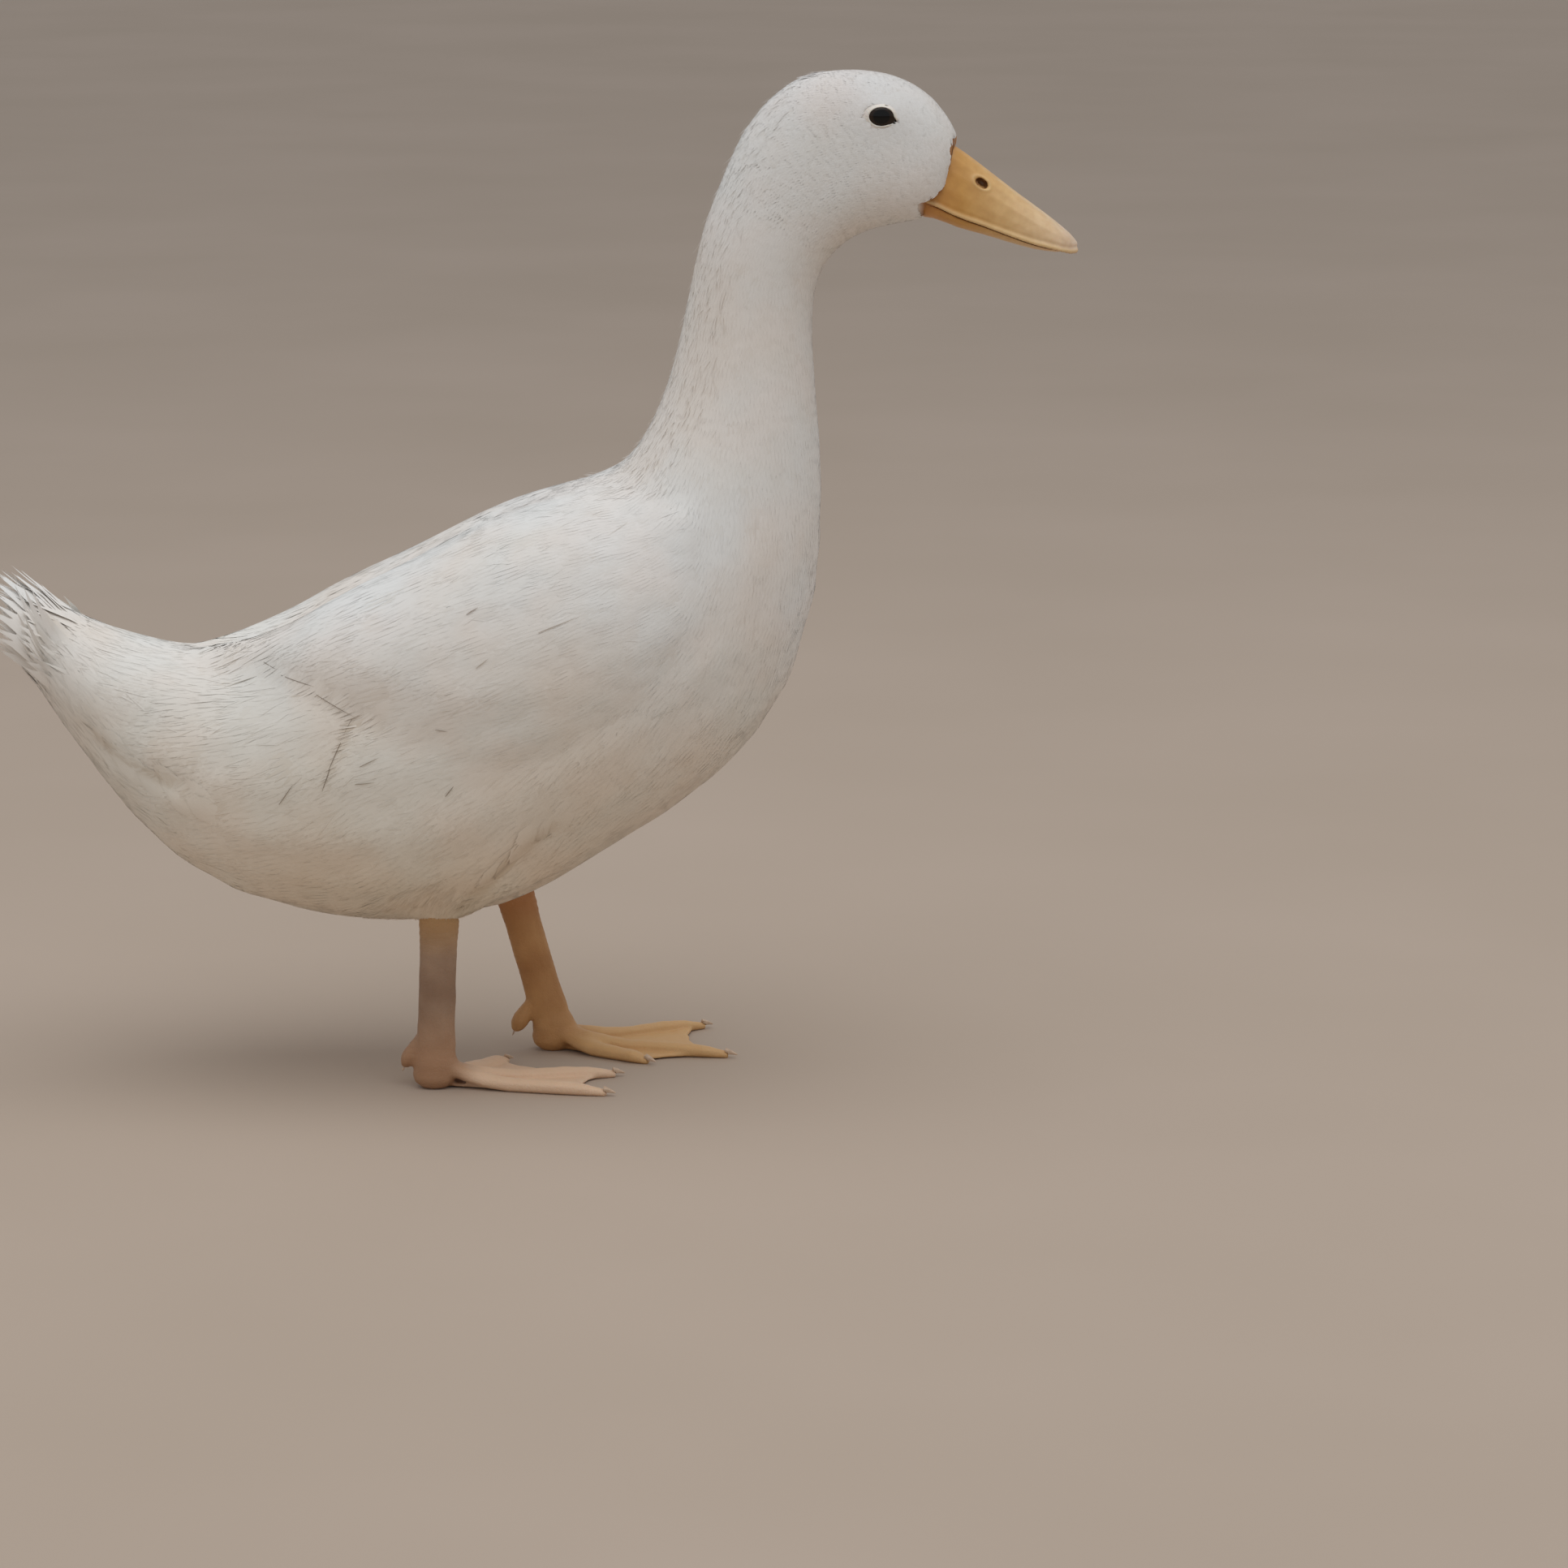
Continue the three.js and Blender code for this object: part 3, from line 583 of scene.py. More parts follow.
def fit_bill(mesh):
    """Draws the skin in under the bill's surface ahead of the line where the feathers end."""
    tree = solid_tree(["bill_upper", "bill_lower"])
    points = points_of(mesh)
    from_brow = np.linalg.norm((points / MM - np.array(BROW)) * BROW_BULGE["squash"], axis=1)
    points += bell(from_brow / BROW_BULGE["reach"])[:, None] * np.array(BROW_BULGE["way"]) * MM
    ahead = ahead_of_feathers(points)
    depth = BILL_TUCK["depth"] * MM
    for k in np.nonzero((ahead > 0) & on_head(points))[0]:
        place, normal, _, _ = tree.find_nearest(points[k].tolist())
        if (Vector(points[k]) - place).dot(normal) > -depth:
            part = float(smoothstep(0, BILL_TUCK["fade"] * MM, ahead[k]))
            points[k] += part * (np.array(place - normal * depth) - points[k])
    move_points(mesh, points)


def side_hits(tree, places, side):
    """Where a tree's surface is, seen from one side, at places given as (x, z) in millimetres."""
    starts = np.insert(np.array(places, float), 1, OUTSIDE * side, axis=1) * MM
    return np.array([tree.ray_cast(start, (0, -side, 0))[0] for start in starts.tolist()])


def lid_rim(side, tree):
    """The rim of the lids round one eye, in rows from the eyeball out: points, triangles and row numbers."""
    turns = np.linspace(0, 2 * math.pi, LID_STEPS, endpoint=False)
    reach = lid_reach(turns)
    points = []
    for part, follow, proud in LID_ROWS:
        x = EYE["x"] + part * LID["half_length"] * np.cos(turns) * reach
        z = EYE["z"] + part * LID["half_height"] * np.sin(turns) * reach
        skin_y = np.abs(side_hits(tree, np.stack([x, z], 1), side)[:, 1]) / MM
        y = eyeball_y(x, z) * follow + skin_y * (1 - follow) + proud
        points.append(np.stack([x, y * side, z], 1))
    triangles = []
    for row in range(len(LID_ROWS) - 1):
        for k in range(LID_STEPS):
            a, b = row * LID_STEPS + k, row * LID_STEPS + (k + 1) % LID_STEPS
            quad = [(a, a + LID_STEPS, b + LID_STEPS), (a, b + LID_STEPS, b)]
            triangles += quad if side > 0 else [corners[::-1] for corners in quad]
    rows = np.repeat(np.arange(len(LID_ROWS)), LID_STEPS)
    return np.vstack(points) * MM, np.array(triangles), rows


def leg_skin(side):
    """A bare leg: its shank, hind toe and webbed foot, softened most at the joint, with folds."""
    shape = solids(f"{node}_{side}" for node in ("shank", "foot", "hind_toe"))
    middle = Vector(np.array(JOINTS[side]) + JOINT_FILL["from_joint"])
    fill = Matrix.LocRotScale(middle * MM, None, Vector(JOINT_FILL["radii"]) * MM)
    bmesh.ops.create_icosphere(shape, subdivisions=4, radius=1, matrix=fill)
    mesh = remeshed(shape, VOXELS["leg"])
    edges = edges_of(mesh)
    hard = points_of(mesh)
    soft = relax(relax(hard, edges, 7), edges, 5, -0.35)
    x, _, z = soft.T / MM
    at_joint = smoothstep(*SOFT_JOINT["from_z"], z) * fade(*SOFT_JOINT["to_z"], z)
    at_joint *= smoothstep(*SOFT_JOINT["from_x"], x - JOINTS[side][0])
    soft = blend(soft, relax(soft, edges, SOFT_JOINT["rounds"]), at_joint)
    move_points(mesh, soft)
    folds = np.array([leg_fold(point) for point in soft.tolist()]) * MM
    folds *= smoothstep(*FOLDS_FROM, soft[:, 2])
    soft = soft + normals_of(mesh) * folds[:, None]
    soft[:, 2] = np.where(hard[:, 2] < SOLE * MM, hard[:, 2], soft[:, 2])
    soft[:, 2] = np.maximum(soft[:, 2], 0)
    move_points(mesh, soft)
    return mesh


def leg_fold(point):
    """How far a leg's skin stands out at a point, in millimetres: low folds at the ankle and the joint."""
    x, y, z = (value / MM for value in point)
    lumps = space_noise.noise(Vector((x, y, z * LUMPS["squash"])) / LUMPS["size"]) * LUMPS["height"]
    wander = space_noise.noise(Vector((x, y, z)) / FOLDS["size"]) * FOLDS["wander"]
    folds = math.sin(2 * math.pi * z / FOLDS["gap"] + wander) * FOLDS["height"]
    return lumps + folds * sum(share * bell((z - at) / reach) for at, reach, share in FOLDS["at"])


def skin(body_mesh):
    """One skin over body and legs, with the rims of the lids."""
    tree = Surface(body_mesh).tree
    rims = [lid_rim(side, tree) for side in SIDES.values()]
    sink_round_eyes(body_mesh)
    fit_bill(body_mesh)
    made = new_object("skin", body_mesh)
    legs = [new_object("leg", leg_skin(side)) for side in SIDES]
    for leg in legs:
        union = made.modifiers.new("union", "BOOLEAN")
        union.operation = "UNION"
        union.solver = "MANIFOLD"
        union.object = leg
    mesh = evaluated(made)
    for leg in legs:
        bpy.data.objects.remove(leg)
    pale = [np.zeros(len(mesh.vertices))]
    shape = bmesh.new()
    shape.from_mesh(mesh)
    for points, triangles, rows in rims:
        part = mesh_of("rim", points, triangles)
        shape.from_mesh(part)
        bpy.data.meshes.remove(part)
        pale.append(np.interp(rows, *RIM_PALE))
    shape.to_mesh(mesh)
    shape.free()
    add_values(mesh, "Rim", np.concatenate(pale))
    add_values(mesh, "Toe", on_toes(points_of(mesh)))
    add_values(mesh, "Left", on_left_leg(points_of(mesh)))
    smooth(mesh)
    mesh.materials.clear()
    mesh.materials.append(material("bare_skin", bare_skin))
    piece = new_object("skin", mesh)
    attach(piece, "root")
    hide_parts("tail", *FEATHERED, *LIMBS)


# Places for feathers

# Places tried for each that the spacing asks for, and the least gap between them as a share of the spacing
SCATTER = {"tries": 3.5, "gap": 0.78}


class Surface:
    """A triangle mesh with values at its vertices, read at the nearest point to any place."""

    def __init__(self, mesh):
        mesh.calc_loop_triangles()
        self.points = points_of(mesh)
        self.corners = numbers(mesh.loop_triangles, "vertices", 3, np.int32)
        self.normals = unit(relax(normals_of(mesh), edges_of(mesh), 4))
        self.values = {"normal": self.normals}
        self.tree = BVHTree.FromPolygons(self.points.tolist(), self.corners.tolist(), all_triangles=True)

    def weights(self, faces, places):
        """The share of each corner of its face in each place."""
        a, b, c = (self.points[self.corners[faces, k]] for k in range(3))
        whole = np.cross(b - a, c - a)
        size = np.maximum((whole**2).sum(1), 1e-20)
        share_b = (np.cross(places - a, c - a) * whole).sum(1) / size
        share_c = (np.cross(b - a, places - a) * whole).sum(1) / size
        return np.clip(np.stack([1 - share_b - share_c, share_b, share_c], 1), 0, 1)

    def read(self, faces, shares, name):
        corners = self.values[name][self.corners[faces]]
        return (corners * (shares[:, :, None] if corners.ndim == 3 else shares)).sum(1)

    def nearest(self, points):
        """The nearest places on the surface, with their faces and corner shares."""
        faces = np.empty(len(points), int)
        places = np.empty((len(points), 3))
        for k, point in enumerate(points.tolist()):
            place, _, faces[k], _ = self.tree.find_nearest(point)
            places[k] = place
        return places, faces, self.weights(faces, places)

    def scatter(self, spacing, wanted):
        """Places spread evenly at a spacing given at each vertex, where most corners are wanted."""
        a, b, c = (self.points[self.corners[:, k]] for k in range(3))
        area = np.linalg.norm(np.cross(b - a, c - a), axis=1) / 2
        gap = spacing[self.corners].mean(1)
        share = area / gap**2 * (wanted[self.corners].mean(1) > 0.5)
        number = int(share.sum() * SCATTER["tries"])
        faces = chance.choice(len(area), number, p=share / share.sum())
        one, two = chance.random((2, number))
        over = one + two > 1
        one[over], two[over] = 1 - one[over], 1 - two[over]
        shares = np.stack([1 - one - two, one, two], 1)
        places = (self.points[self.corners[faces]] * shares[:, :, None]).sum(1)
        kept = spread_out(places, (spacing[self.corners[faces]] * shares).sum(1) * SCATTER["gap"])
        return places[kept], faces[kept], shares[kept]


def spread_out(places, gaps):
    """The numbers of those places that keep their gap from each earlier one."""
    tree = KDTree(len(places))
    for k, place in enumerate(places.tolist()):
        tree.insert(place, k)
    tree.balance()
    free = np.ones(len(places), bool)
    kept = []
    for k, (place, gap) in enumerate(zip(places.tolist(), gaps.tolist())):
        if free[k]:
            kept.append(k)
            for _, other, _ in tree.find_range(place, gap):
                free[other] = False
    return np.array(kept)


def lie_of_coat(points, normals, wing):
    """The way feathers lie: tailward, away from the bill on the face, down the thighs, along the wings."""
    _, _, line_ways = along_line(points)
    way_on_face = from_bill(points)
    face = fade(*FACE_LIE, np.linalg.norm(way_on_face, axis=1)) * on_head(points)
    way = blend(-line_ways, unit(way_on_face), face)
    side = np.abs(normals[:, 1]) * fade(*FLANK_FALL["front"], points[:, 0])
    side *= smoothstep(*FLANK_FALL["rear"], points[:, 0]) * (points[:, 2] < FLANK_FALL["below"] * MM)
    way = way - np.array([0, 0, FLANK_FALL["share"]]) * side[:, None]
    way = blend(way, HANG_WAY, near_hips(points, HANG_REACH))
    along_wing = np.tile([-1.0, 0, 0], (len(points), 1))
    along_wing[:, 2] = np.interp(points[:, 0] / MM, *WING_SLOPE)
    way = blend(way, unit(along_wing), wing)
    return unit(way - normals * dot(way, normals))


def coat_surface(body_mesh):
    """The skin as a surface with the coat's depth, and its feathers' length, width and lie."""
    surface = Surface(body_mesh)
    points = surface.points
    places, _, _ = along_line(points)
    wing = on_wing(points + surface.normals * WING_DEPTH * MM)
    wing_length = np.interp(points[:, 0] / MM, *WING_LENGTHS) * MM
    thigh = near_hips(points, THIGH_COAT["reach"])
    length = by_place(FEATHER_LENGTH, places)
    width = by_place(FEATHER_WIDTH, places)
    length = (length * (1 - wing) + wing_length * wing) * (1 - THIGH_COAT["length"] * thigh)
    width = width * (1 - wing) + wing_length * WING_FEATHER * wing
    width = width * (1 - THIGH_COAT["width"] * thigh)
    way = lie_of_coat(points, surface.normals, wing)
    tail_limit = np.interp(points[:, 2] / MM, *TAIL_LIMIT) * MM
    to_tail_tip = (points[:, 0] + tail_limit) / np.maximum(-way[:, 0], 0.35)
    length = np.where(points[:, 0] < -120 * MM, np.clip(to_tail_tip, 12 * MM, length), length)
    near_eye = fade(EYE_BARE, EYE_COAT["reach"], eye_distance(points)) * on_head(points)
    surface.values["place"] = places
    surface.values["wing"] = wing
    surface.values["depth"] = coat_depth(points) * (1 - THIGH_COAT["depth"] * thigh)
    surface.values["length"] = length * (1 - EYE_COAT["length"] * near_eye)
    surface.values["width"] = width * (1 - EYE_COAT["width"] * near_eye)
    surface.values["way"] = way
    return surface


# The flat patterns of feathers: points as places along and across, their triangles, and how loose each is


def vane_pattern(rows, teeth, body_end, narrow=0.45, round_tip=0.3):
    """A feather's web in rows of points, and the long teeth of its frayed end."""
    part, w = (grid.ravel() for grid in np.mgrid[0 : 1 : rows * 1j, -1 : 1 : (teeth + 1) * 1j])
    ends = (2 * np.arange(teeth) + 1) / teeth - 1
    along = np.append(part * body_end * (1 - round_tip * part * w * w), 1 - round_tip * ends**2)
    widths = narrow + (1 - narrow) * np.sin(np.minimum(part * 1.3, 1) * math.pi / 2)
    across = np.append(w * widths, ends * 0.86)
    wide = teeth + 1
    a = (np.arange(rows - 1)[:, None] * wide + np.arange(teeth)).ravel()
    web = np.stack([a, a + wide + 1, a + 1, a, a + wide, a + wide + 1], 1).reshape(-1, 3)
    last = (rows - 1) * wide + np.arange(teeth)
    fringe = np.stack([last, rows * wide + np.arange(teeth), last + 1], 1)
    loose = np.arange(len(along)) >= rows * wide
    return along, across, np.vstack([web, fringe]), loose.astype(float)


def pointed_blades(blades, loose=0):
    """Blades, each given by rows of (along, middle, half its width) and by its point's place."""
    along, across, tip, triangles = [], [], [], []
    for rows, point in blades:
        start = len(along)
        for place, middle, half in rows:
            along += [place, place]
            across += [middle - half, middle + half]
            tip += [0, 0]
        tip[-2:] = [loose, loose, 1]
        along.append(point[0])
        across.append(point[1])
        last = len(along) - 1
        for a in range(start, last - 2, 2):
            triangles += [(a, a + 3, a + 1), (a, a + 2, a + 3)]
        triangles.append((last - 2, last, last - 1))
    return np.array(along), np.array(across), np.array(triangles), np.array(tip)


def tuft_pattern():
    """Three narrow blades that part from one root."""
    half = 1.1 / 3
    middles = (-1, 0, 1)
    return pointed_blades([([(0, 0.4 * w, half), (0.55, 0.75 * w, half)], (1, w)) for w in middles])


def blade_pattern(blades, rows):
    """Long narrow blades side by side, which part a little towards their pointed ends."""
    part = np.arange(rows) / rows
    taper = 1 - np.maximum(part - 0.45, 0) / 0.55
    half = 1.3 / blades * (0.6 + 0.4 * np.minimum(part / 0.35, 1)) * taper**0.8
    made = []
    for middle in np.linspace(-1, 1, blades):
        end = 1 - 0.16 * middle**2
        made.append((list(zip(part * end, middle * (0.6 + 0.3 * part), half)), (end, middle * 0.92)))
    return pointed_blades(made)


WISP = pointed_blades([([(0, 0, 0.6), (0.35, 0, 1), (0.72, 0, 0.7)], (1, 0))], 0.5)


# Feathers

PATCH = 0.003  # the size of each feather's patch on the bake map
MAP_EDGE = 0.01


class Coat:
    """Feathers gathered into one piece."""

    def __init__(self, name):
        self.name = name
        self.parts = []
        self.total = 0

    def add(self, points, normals, pattern, tones, roots):
        """Points, normals and tones are feather by feather. Roots are the places that they grow from."""
        feathers, each = points.shape[:2]
        along, across, triangles, _ = pattern
        starts = self.total + each * np.arange(feathers)
        corners = (triangles[None] + starts[:, None, None]).reshape(-1, 3)
        places = np.repeat(unwrapped(roots), each, axis=0)
        spread = np.tile(np.stack([across * 0.5, along - 0.5], 1) * PATCH, (feathers, 1))
        shift = chance.uniform(0, 40, (feathers, 1, 1))
        vanes = (np.stack([along, across], 1)[None] + shift).reshape(-1, 2)
        points, normals = points.reshape(-1, 3), unit(normals.reshape(-1, 3))
        self.parts.append((points, normals, corners, tones.ravel(), places, spread, vanes))
        self.total += feathers * each

    def finish(self, shade):
        """Makes the piece. On its bake map its own stretch of the body takes the whole height."""
        joined = (np.concatenate(part) for part in zip(*self.parts))
        points, normals, triangles, tones, places, spread, vanes = joined
        low, high = places[:, 1].min(), places[:, 1].max()
        places[:, 1] = (places[:, 1] - low) / max(high - low, 1e-6)
        bake_map = MAP_EDGE + (1 - 2 * MAP_EDGE) * places + spread
        a, b, c = (points[triangles[:, k]] for k in range(3))
        facing = dot(np.cross(b - a, c - a), normals[triangles].sum(1))[:, 0]
        triangles[facing < 0] = triangles[facing < 0][:, ::-1]
        mesh = mesh_of(self.name, points, triangles)
        for name, values in (("OFBake", bake_map), ("Vane", vanes)):
            layer = mesh.uv_layers.new(name=name)
            layer.uv.foreach_set("vector", values[triangles.ravel()].astype(np.float32).ravel())
        # Each feather's own tone, lowered where shade is painted along creases and in the dark shadow lines
        add_values(mesh, "ToneAndPaintedShade", tones)
        mesh.normals_split_custom_set_from_vertices(normals.tolist())
        made = new_object(self.name, mesh)
        made.data.materials.append(shade)
        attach(made, "root")


# How feathers are laid: how much their length varies, how far they turn aside, how ragged their ends are,
# how high they lie in the coat from root to tip, how unevenly, how much they bow across, what share of them
# stand out at the tip and how far, how much their shade turns across, and how light they are and how mixed
STYLE = {
    "vary": 0.15,
    "turn": 0.09,
    "fray": 0.06,
    "rise": (0.65, 1.0),
    "uneven": 0.015,
    "camber": 0.006,
    "standing": 0.0,
    "stand": 0.0,
    "tilt": 0.08,
    "tone": 0.5,
    "tones": 0.06,
}
CLIMB = 5  # the higher, the closer to its root a feather climbs to its height
# A feather hugs the skin where that faces the way it does at the root, fading between these shares of it and
# short of the tail's end, and hugs it anyway between a low and a high stretch on the thighs
HUG = {"facing": (0.05, 0.55), "end": (-6 * MM, -1 * MM), "low": (79 * MM, 84 * MM)}
HUG["high"] = (100 * MM, 115 * MM)


def lay(coat, surface, roots, pattern, lengths, widths, ways, **style):
    """Lays one feather at each root: along the skin, and straight on where the skin turns away under it."""
    style = {**STYLE, **style}
    places, faces, shares = roots
    along, across, _, tip = pattern
    number, each = len(places), len(along)
    lengths = lengths * chance.uniform(1 - style["vary"], 1 + style["vary"], number)
    normals = unit(surface.read(faces, shares, "normal"))
    ways = unit(ways - normals * dot(ways, normals))
    sides = np.cross(normals, ways)
    turn = chance.normal(0, style["turn"], number)[:, None]
    ways, sides = ways * np.cos(turn) + sides * np.sin(turn), sides * np.cos(turn) - ways * np.sin(turn)
    ahead = along + chance.normal(0, style["fray"], (number, each)) * tip
    aside = across + chance.normal(0, style["fray"], (number, each)) * tip
    flat = places[:, None] + ways[:, None] * (ahead * lengths[:, None])[..., None]
    flat = (flat + sides[:, None] * (aside * widths[:, None] / 2)[..., None]).reshape(-1, 3)
    under, near_faces, near_shares = surface.nearest(flat)
    out = unit(surface.read(near_faces, near_shares, "normal"))
    root_out = np.repeat(normals, each, axis=0)
    beyond = (flat - np.array(TAIL_END)) @ np.array(TAIL_WAY)
    hug = smoothstep(*HUG["facing"], dot(out, root_out))[:, 0] * fade(*HUG["end"], beyond)
    hug = np.maximum(hug, smoothstep(*HUG["low"], flat[:, 2]) * fade(*HUG["high"], flat[:, 2]))
    depth = surface.read(near_faces, near_shares, "depth").reshape(number, each)
    low, high = style["rise"]
    climb = low + (high - low) * (1 - (1 - np.clip(ahead, 0, 1)) ** CLIMB)
    level = chance.uniform(1 - style["uneven"], 1 + style["uneven"], number)[:, None]
    height = depth * climb * level - style["camber"] * widths[:, None] * aside**2
    stands = (chance.random(number) < style["standing"]) * chance.random(number) * style["stand"] * MM
    height += stands[:, None] * np.clip(ahead, 0, 1.2) ** 2
    out = unit(blend(root_out, out, hug))
    points = blend(flat, under, hug) + out * height.reshape(-1, 1)
    shade = out.reshape(number, each, 3) + sides[:, None] * (aside * style["tilt"])[..., None]
    tones = chance.normal(style["tone"], style["tones"], number)[:, None]
    # Tones are made darker along the creases of the plumage: painted shade.
    tones = tones + chance.normal(0, 0.04, (number, each)) * tip - painted_crease_shade(points).reshape(number, each)
    coat.add(points.reshape(number, each, 3), shade, pattern, tones, places)


def painted_crease_shade(points):
    """How much darker the feathers are painted along the creases of the plumage: painted shade."""
    narrower = PAINTED_CREASE_SHADE["width"]
    near = sum(creased(points, name, narrower * width) for name, (_, width, _) in CREASES.items())
    return PAINTED_CREASE_SHADE["darker"] * near * (np.abs(points[:, 1]) > PAINTED_CREASE_SHADE["beyond_y"] * MM)


def lay_by_fields(coat, surface, roots, pattern, **style):
    """Lays feathers with the length, width and lie that the surface gives."""
    fields = (surface.read(*roots[1:], name) for name in ("length", "width", "way"))
    lay(coat, surface, roots, pattern, *fields, **style)


# The coat's pieces: the stretch of the middle line that each covers, its pattern, its spacing as a share of a
# feather's length, and its style
SOME_STAND = {"standing": 0.02, "stand": 0.15}
REGIONS = {
    "coat_head": (8.4, 12, tuft_pattern(), 0.22, {"turn": 0.14, "fray": 0.08}),
    "coat_neck": (NECK_BASE, 8.4, blade_pattern(4, 3), 0.15, {"turn": 0.08, "rise": (0.75, 1.0)}),
    "coat_front": (4.3, NECK_BASE, blade_pattern(5, 4), 0.14, {"standing": 0.02, "stand": 0.12}),
    "coat_rear": (-1, 4.3, blade_pattern(5, 4), 0.125, SOME_STAND),
}
WING_STYLE = {"fray": 0.04, "turn": 0.05, **SOME_STAND}
WING_SPACING = 0.09
BLUNT_END = {"facing": 0.6, "behind": -170}  # none grow on skin that faces the tail's way behind this x


def body_coat(surface, shade):
    """The coat of head, neck and body, apart from the wings and the tail's blunt end."""
    places = surface.values["place"]
    open_skin = feathered(surface.points) & (surface.values["wing"] < 0.5)
    sideways = surface.normals @ np.array(TAIL_WAY) < BLUNT_END["facing"]
    open_skin &= sideways | (surface.points[:, 0] > BLUNT_END["behind"] * MM)
    for name, (low, high, pattern, gap, style) in REGIONS.items():
        coat = Coat(name)
        wanted = (places >= low) & (places < high) & open_skin
        roots = surface.scatter(surface.values["length"] * gap, wanted)
        lay_by_fields(coat, surface, roots, pattern, **style)
        coat.finish(shade)


def wing_coat(surface, shade):
    """The feathers of the folded wings, longer towards the wings' tips."""
    coat = Coat("coat_wings")
    wanted = feathered(surface.points) & (surface.values["wing"] >= 0.5)
    roots = surface.scatter(surface.values["length"] * WING_SPACING, wanted)
    lay_by_fields(coat, surface, roots, blade_pattern(5, 6), **WING_STYLE)
    coat.finish(shade)


# Rows of feathers over creases: on which sides, the way they lie, their length and width, how many there are
# and how far they stand out
EDGES = {
    "undertail": ((1, -1), (-0.8, 0, 0.6), 24, 9, 18, 0.2),
    "thigh": ((-1,), (-0.5, 0, -0.86), 20, 8, 18, 0.35),
}
EDGE_STYLE = {"standing": 1.0, "rise": (0.8, 1.02), "turn": 0.1, "vary": 0.12}


def edge_feathers(surface, shade):
    """Feathers whose tips overhang the creases at the thigh's and the tail's roots."""
    coat = Coat("coat_edges")
    for name, (sides, way, length, width, number, stand) in EDGES.items():
        path = np.array(CREASES[name][0], float)
        parts = np.linspace(0, len(path) - 1, number)
        tips = np.stack([np.interp(parts, np.arange(len(path)), path[:, axis]) for axis in (0, 1)], 1)
        for side in sides:
            back = np.array([way[0], way[2]]) * length * 0.93
            roots = surface.nearest(side_hits(surface.tree, tips - back, side))
            ways = np.tile(np.array(way, float), (number, 1))
            sizes = np.full(number, length * MM), np.full(number, width * MM)
            lay(coat, surface, roots, vane_pattern(5, 9, 0.9), *sizes, ways, stand=stand, **EDGE_STYLE)
    coat.finish(shade)


# Loose barbs over the body, the nape and the thighs: their spacing, length and width, how far they stand out
# and turn aside
WISPS = [(7.0, 14, 0.45, 0.12, 0.2), (2.6, 6.5, 0.4, 1.9, 0.25), (1.6, 14, 0.5, 0.8, 0.16)]
WISP_STYLE = {"rise": (0.75, 1.03), "standing": 0.6, "tone": 0.6, "tones": 0.12}
# The crown's tufts are a lighter tone than the coat: painted light against the shade under them.
CROWN_STYLE = {"turn": 0.1, "rise": (0.8, 1.1), "standing": 1.0, "stand": 1.2, "tone": 0.9}
CROWN_TUFTS = {"x": (110, 118, 5), "y": (-5, 5, 6), "above": 420, "length": (5, 8), "width": 1.7}


def wisps(surface, shade):
    """Loose hair-thin barbs over the coat, a few tufts on the crown, and the painted shadow lines."""
    coat = Coat("coat_wisps_and_shadow_lines")
    points = surface.points
    grown = feathered(points)
    on_body = grown & (surface.values["place"] < NECK_BASE)
    nape = grown & (surface.values["place"] >= 6) & (surface.normals[:, 0] < -0.35)
    thighs = grown & (near_hips(points, 34) > 0.2)
    for wanted, (gap, length, width, stand, turn) in zip((on_body, nape, thighs), WISPS):
        roots = surface.scatter(np.full(len(points), gap * MM), wanted)
        number = len(roots[0])
        lengths = length * MM * chance.uniform(0.6, 1.35, number)
        widths = width * MM * chance.uniform(0.7, 1.3, number)
        ways = surface.read(*roots[1:], "way")
        lay(coat, surface, roots, WISP, lengths, widths, ways, turn=turn, stand=stand, **WISP_STYLE)
    rows, columns = np.linspace(*CROWN_TUFTS["x"]), np.linspace(*CROWN_TUFTS["y"])
    crown = np.array([(x, y, CROWN_TUFTS["above"]) for x in rows for y in columns]) * MM
    crown += chance.normal(0, 0.8 * MM, crown.shape)
    roots = surface.nearest(crown)
    lengths = chance.uniform(*CROWN_TUFTS["length"], len(crown)) * MM
    widths = np.full(len(crown), CROWN_TUFTS["width"] * MM)
    ways = np.tile([-1.0, 0, 0.05], (len(crown), 1))
    lay(coat, surface, roots, tuft_pattern(), lengths, widths, ways, **CROWN_STYLE)
    # Thin dark strips along feather edges and barbs: painted shadow.
    painted_shadow_lines(coat, surface)
    coat.finish(shade)


# How high the painted shadow lines lie in the coat's depth, at the wing's end and elsewhere, and how wide
# they are
SHADOW_LINE_HEIGHTS = {"wing": 1.35, "flank": 1.12, "barb": 1.12}
SHADOW_LINE_WIDTH = 0.42
# Their tone is near the bottom of the plumage's ramp: painted shadow.
SHADOW_LINE_STYLE = {"vary": 0.05, "turn": 0.03, "tone": 0.04, "tones": 0.02}


def painted_shadow_lines(coat, surface):
    """The few thin dark lines in the plumage, painted shadows: under the feather edges at the wing's end, and
    as single dark barbs.
    """
    lines = {name: list(zip(CREASES[name][0][:-1], CREASES[name][0][1:])) for name in ("wing", "flank")}
    lines["wing"].pop()
    # Single dark barbs painted as the shadow in gaps between barbs
    lines["barb"] = PAINTED_BARB_SHADOWS
    starts, ends = np.array([part for parts in lines.values() for part in parts], float).swapaxes(0, 1)
    height = np.array([[SHADOW_LINE_HEIGHTS[name]] for name, parts in lines.items() for _ in parts])
    ways = np.insert(ends - starts, 1, 0, axis=1)
    lengths = np.linalg.norm(ways, axis=1) * 1.15 * MM
    widths = np.full(len(starts), SHADOW_LINE_WIDTH * MM)
    for side in SIDES.values():
        roots = surface.nearest(side_hits(surface.tree, starts, side))
        lay(coat, surface, roots, WISP, lengths, widths, unit(ways), rise=(height, height), **SHADOW_LINE_STYLE)


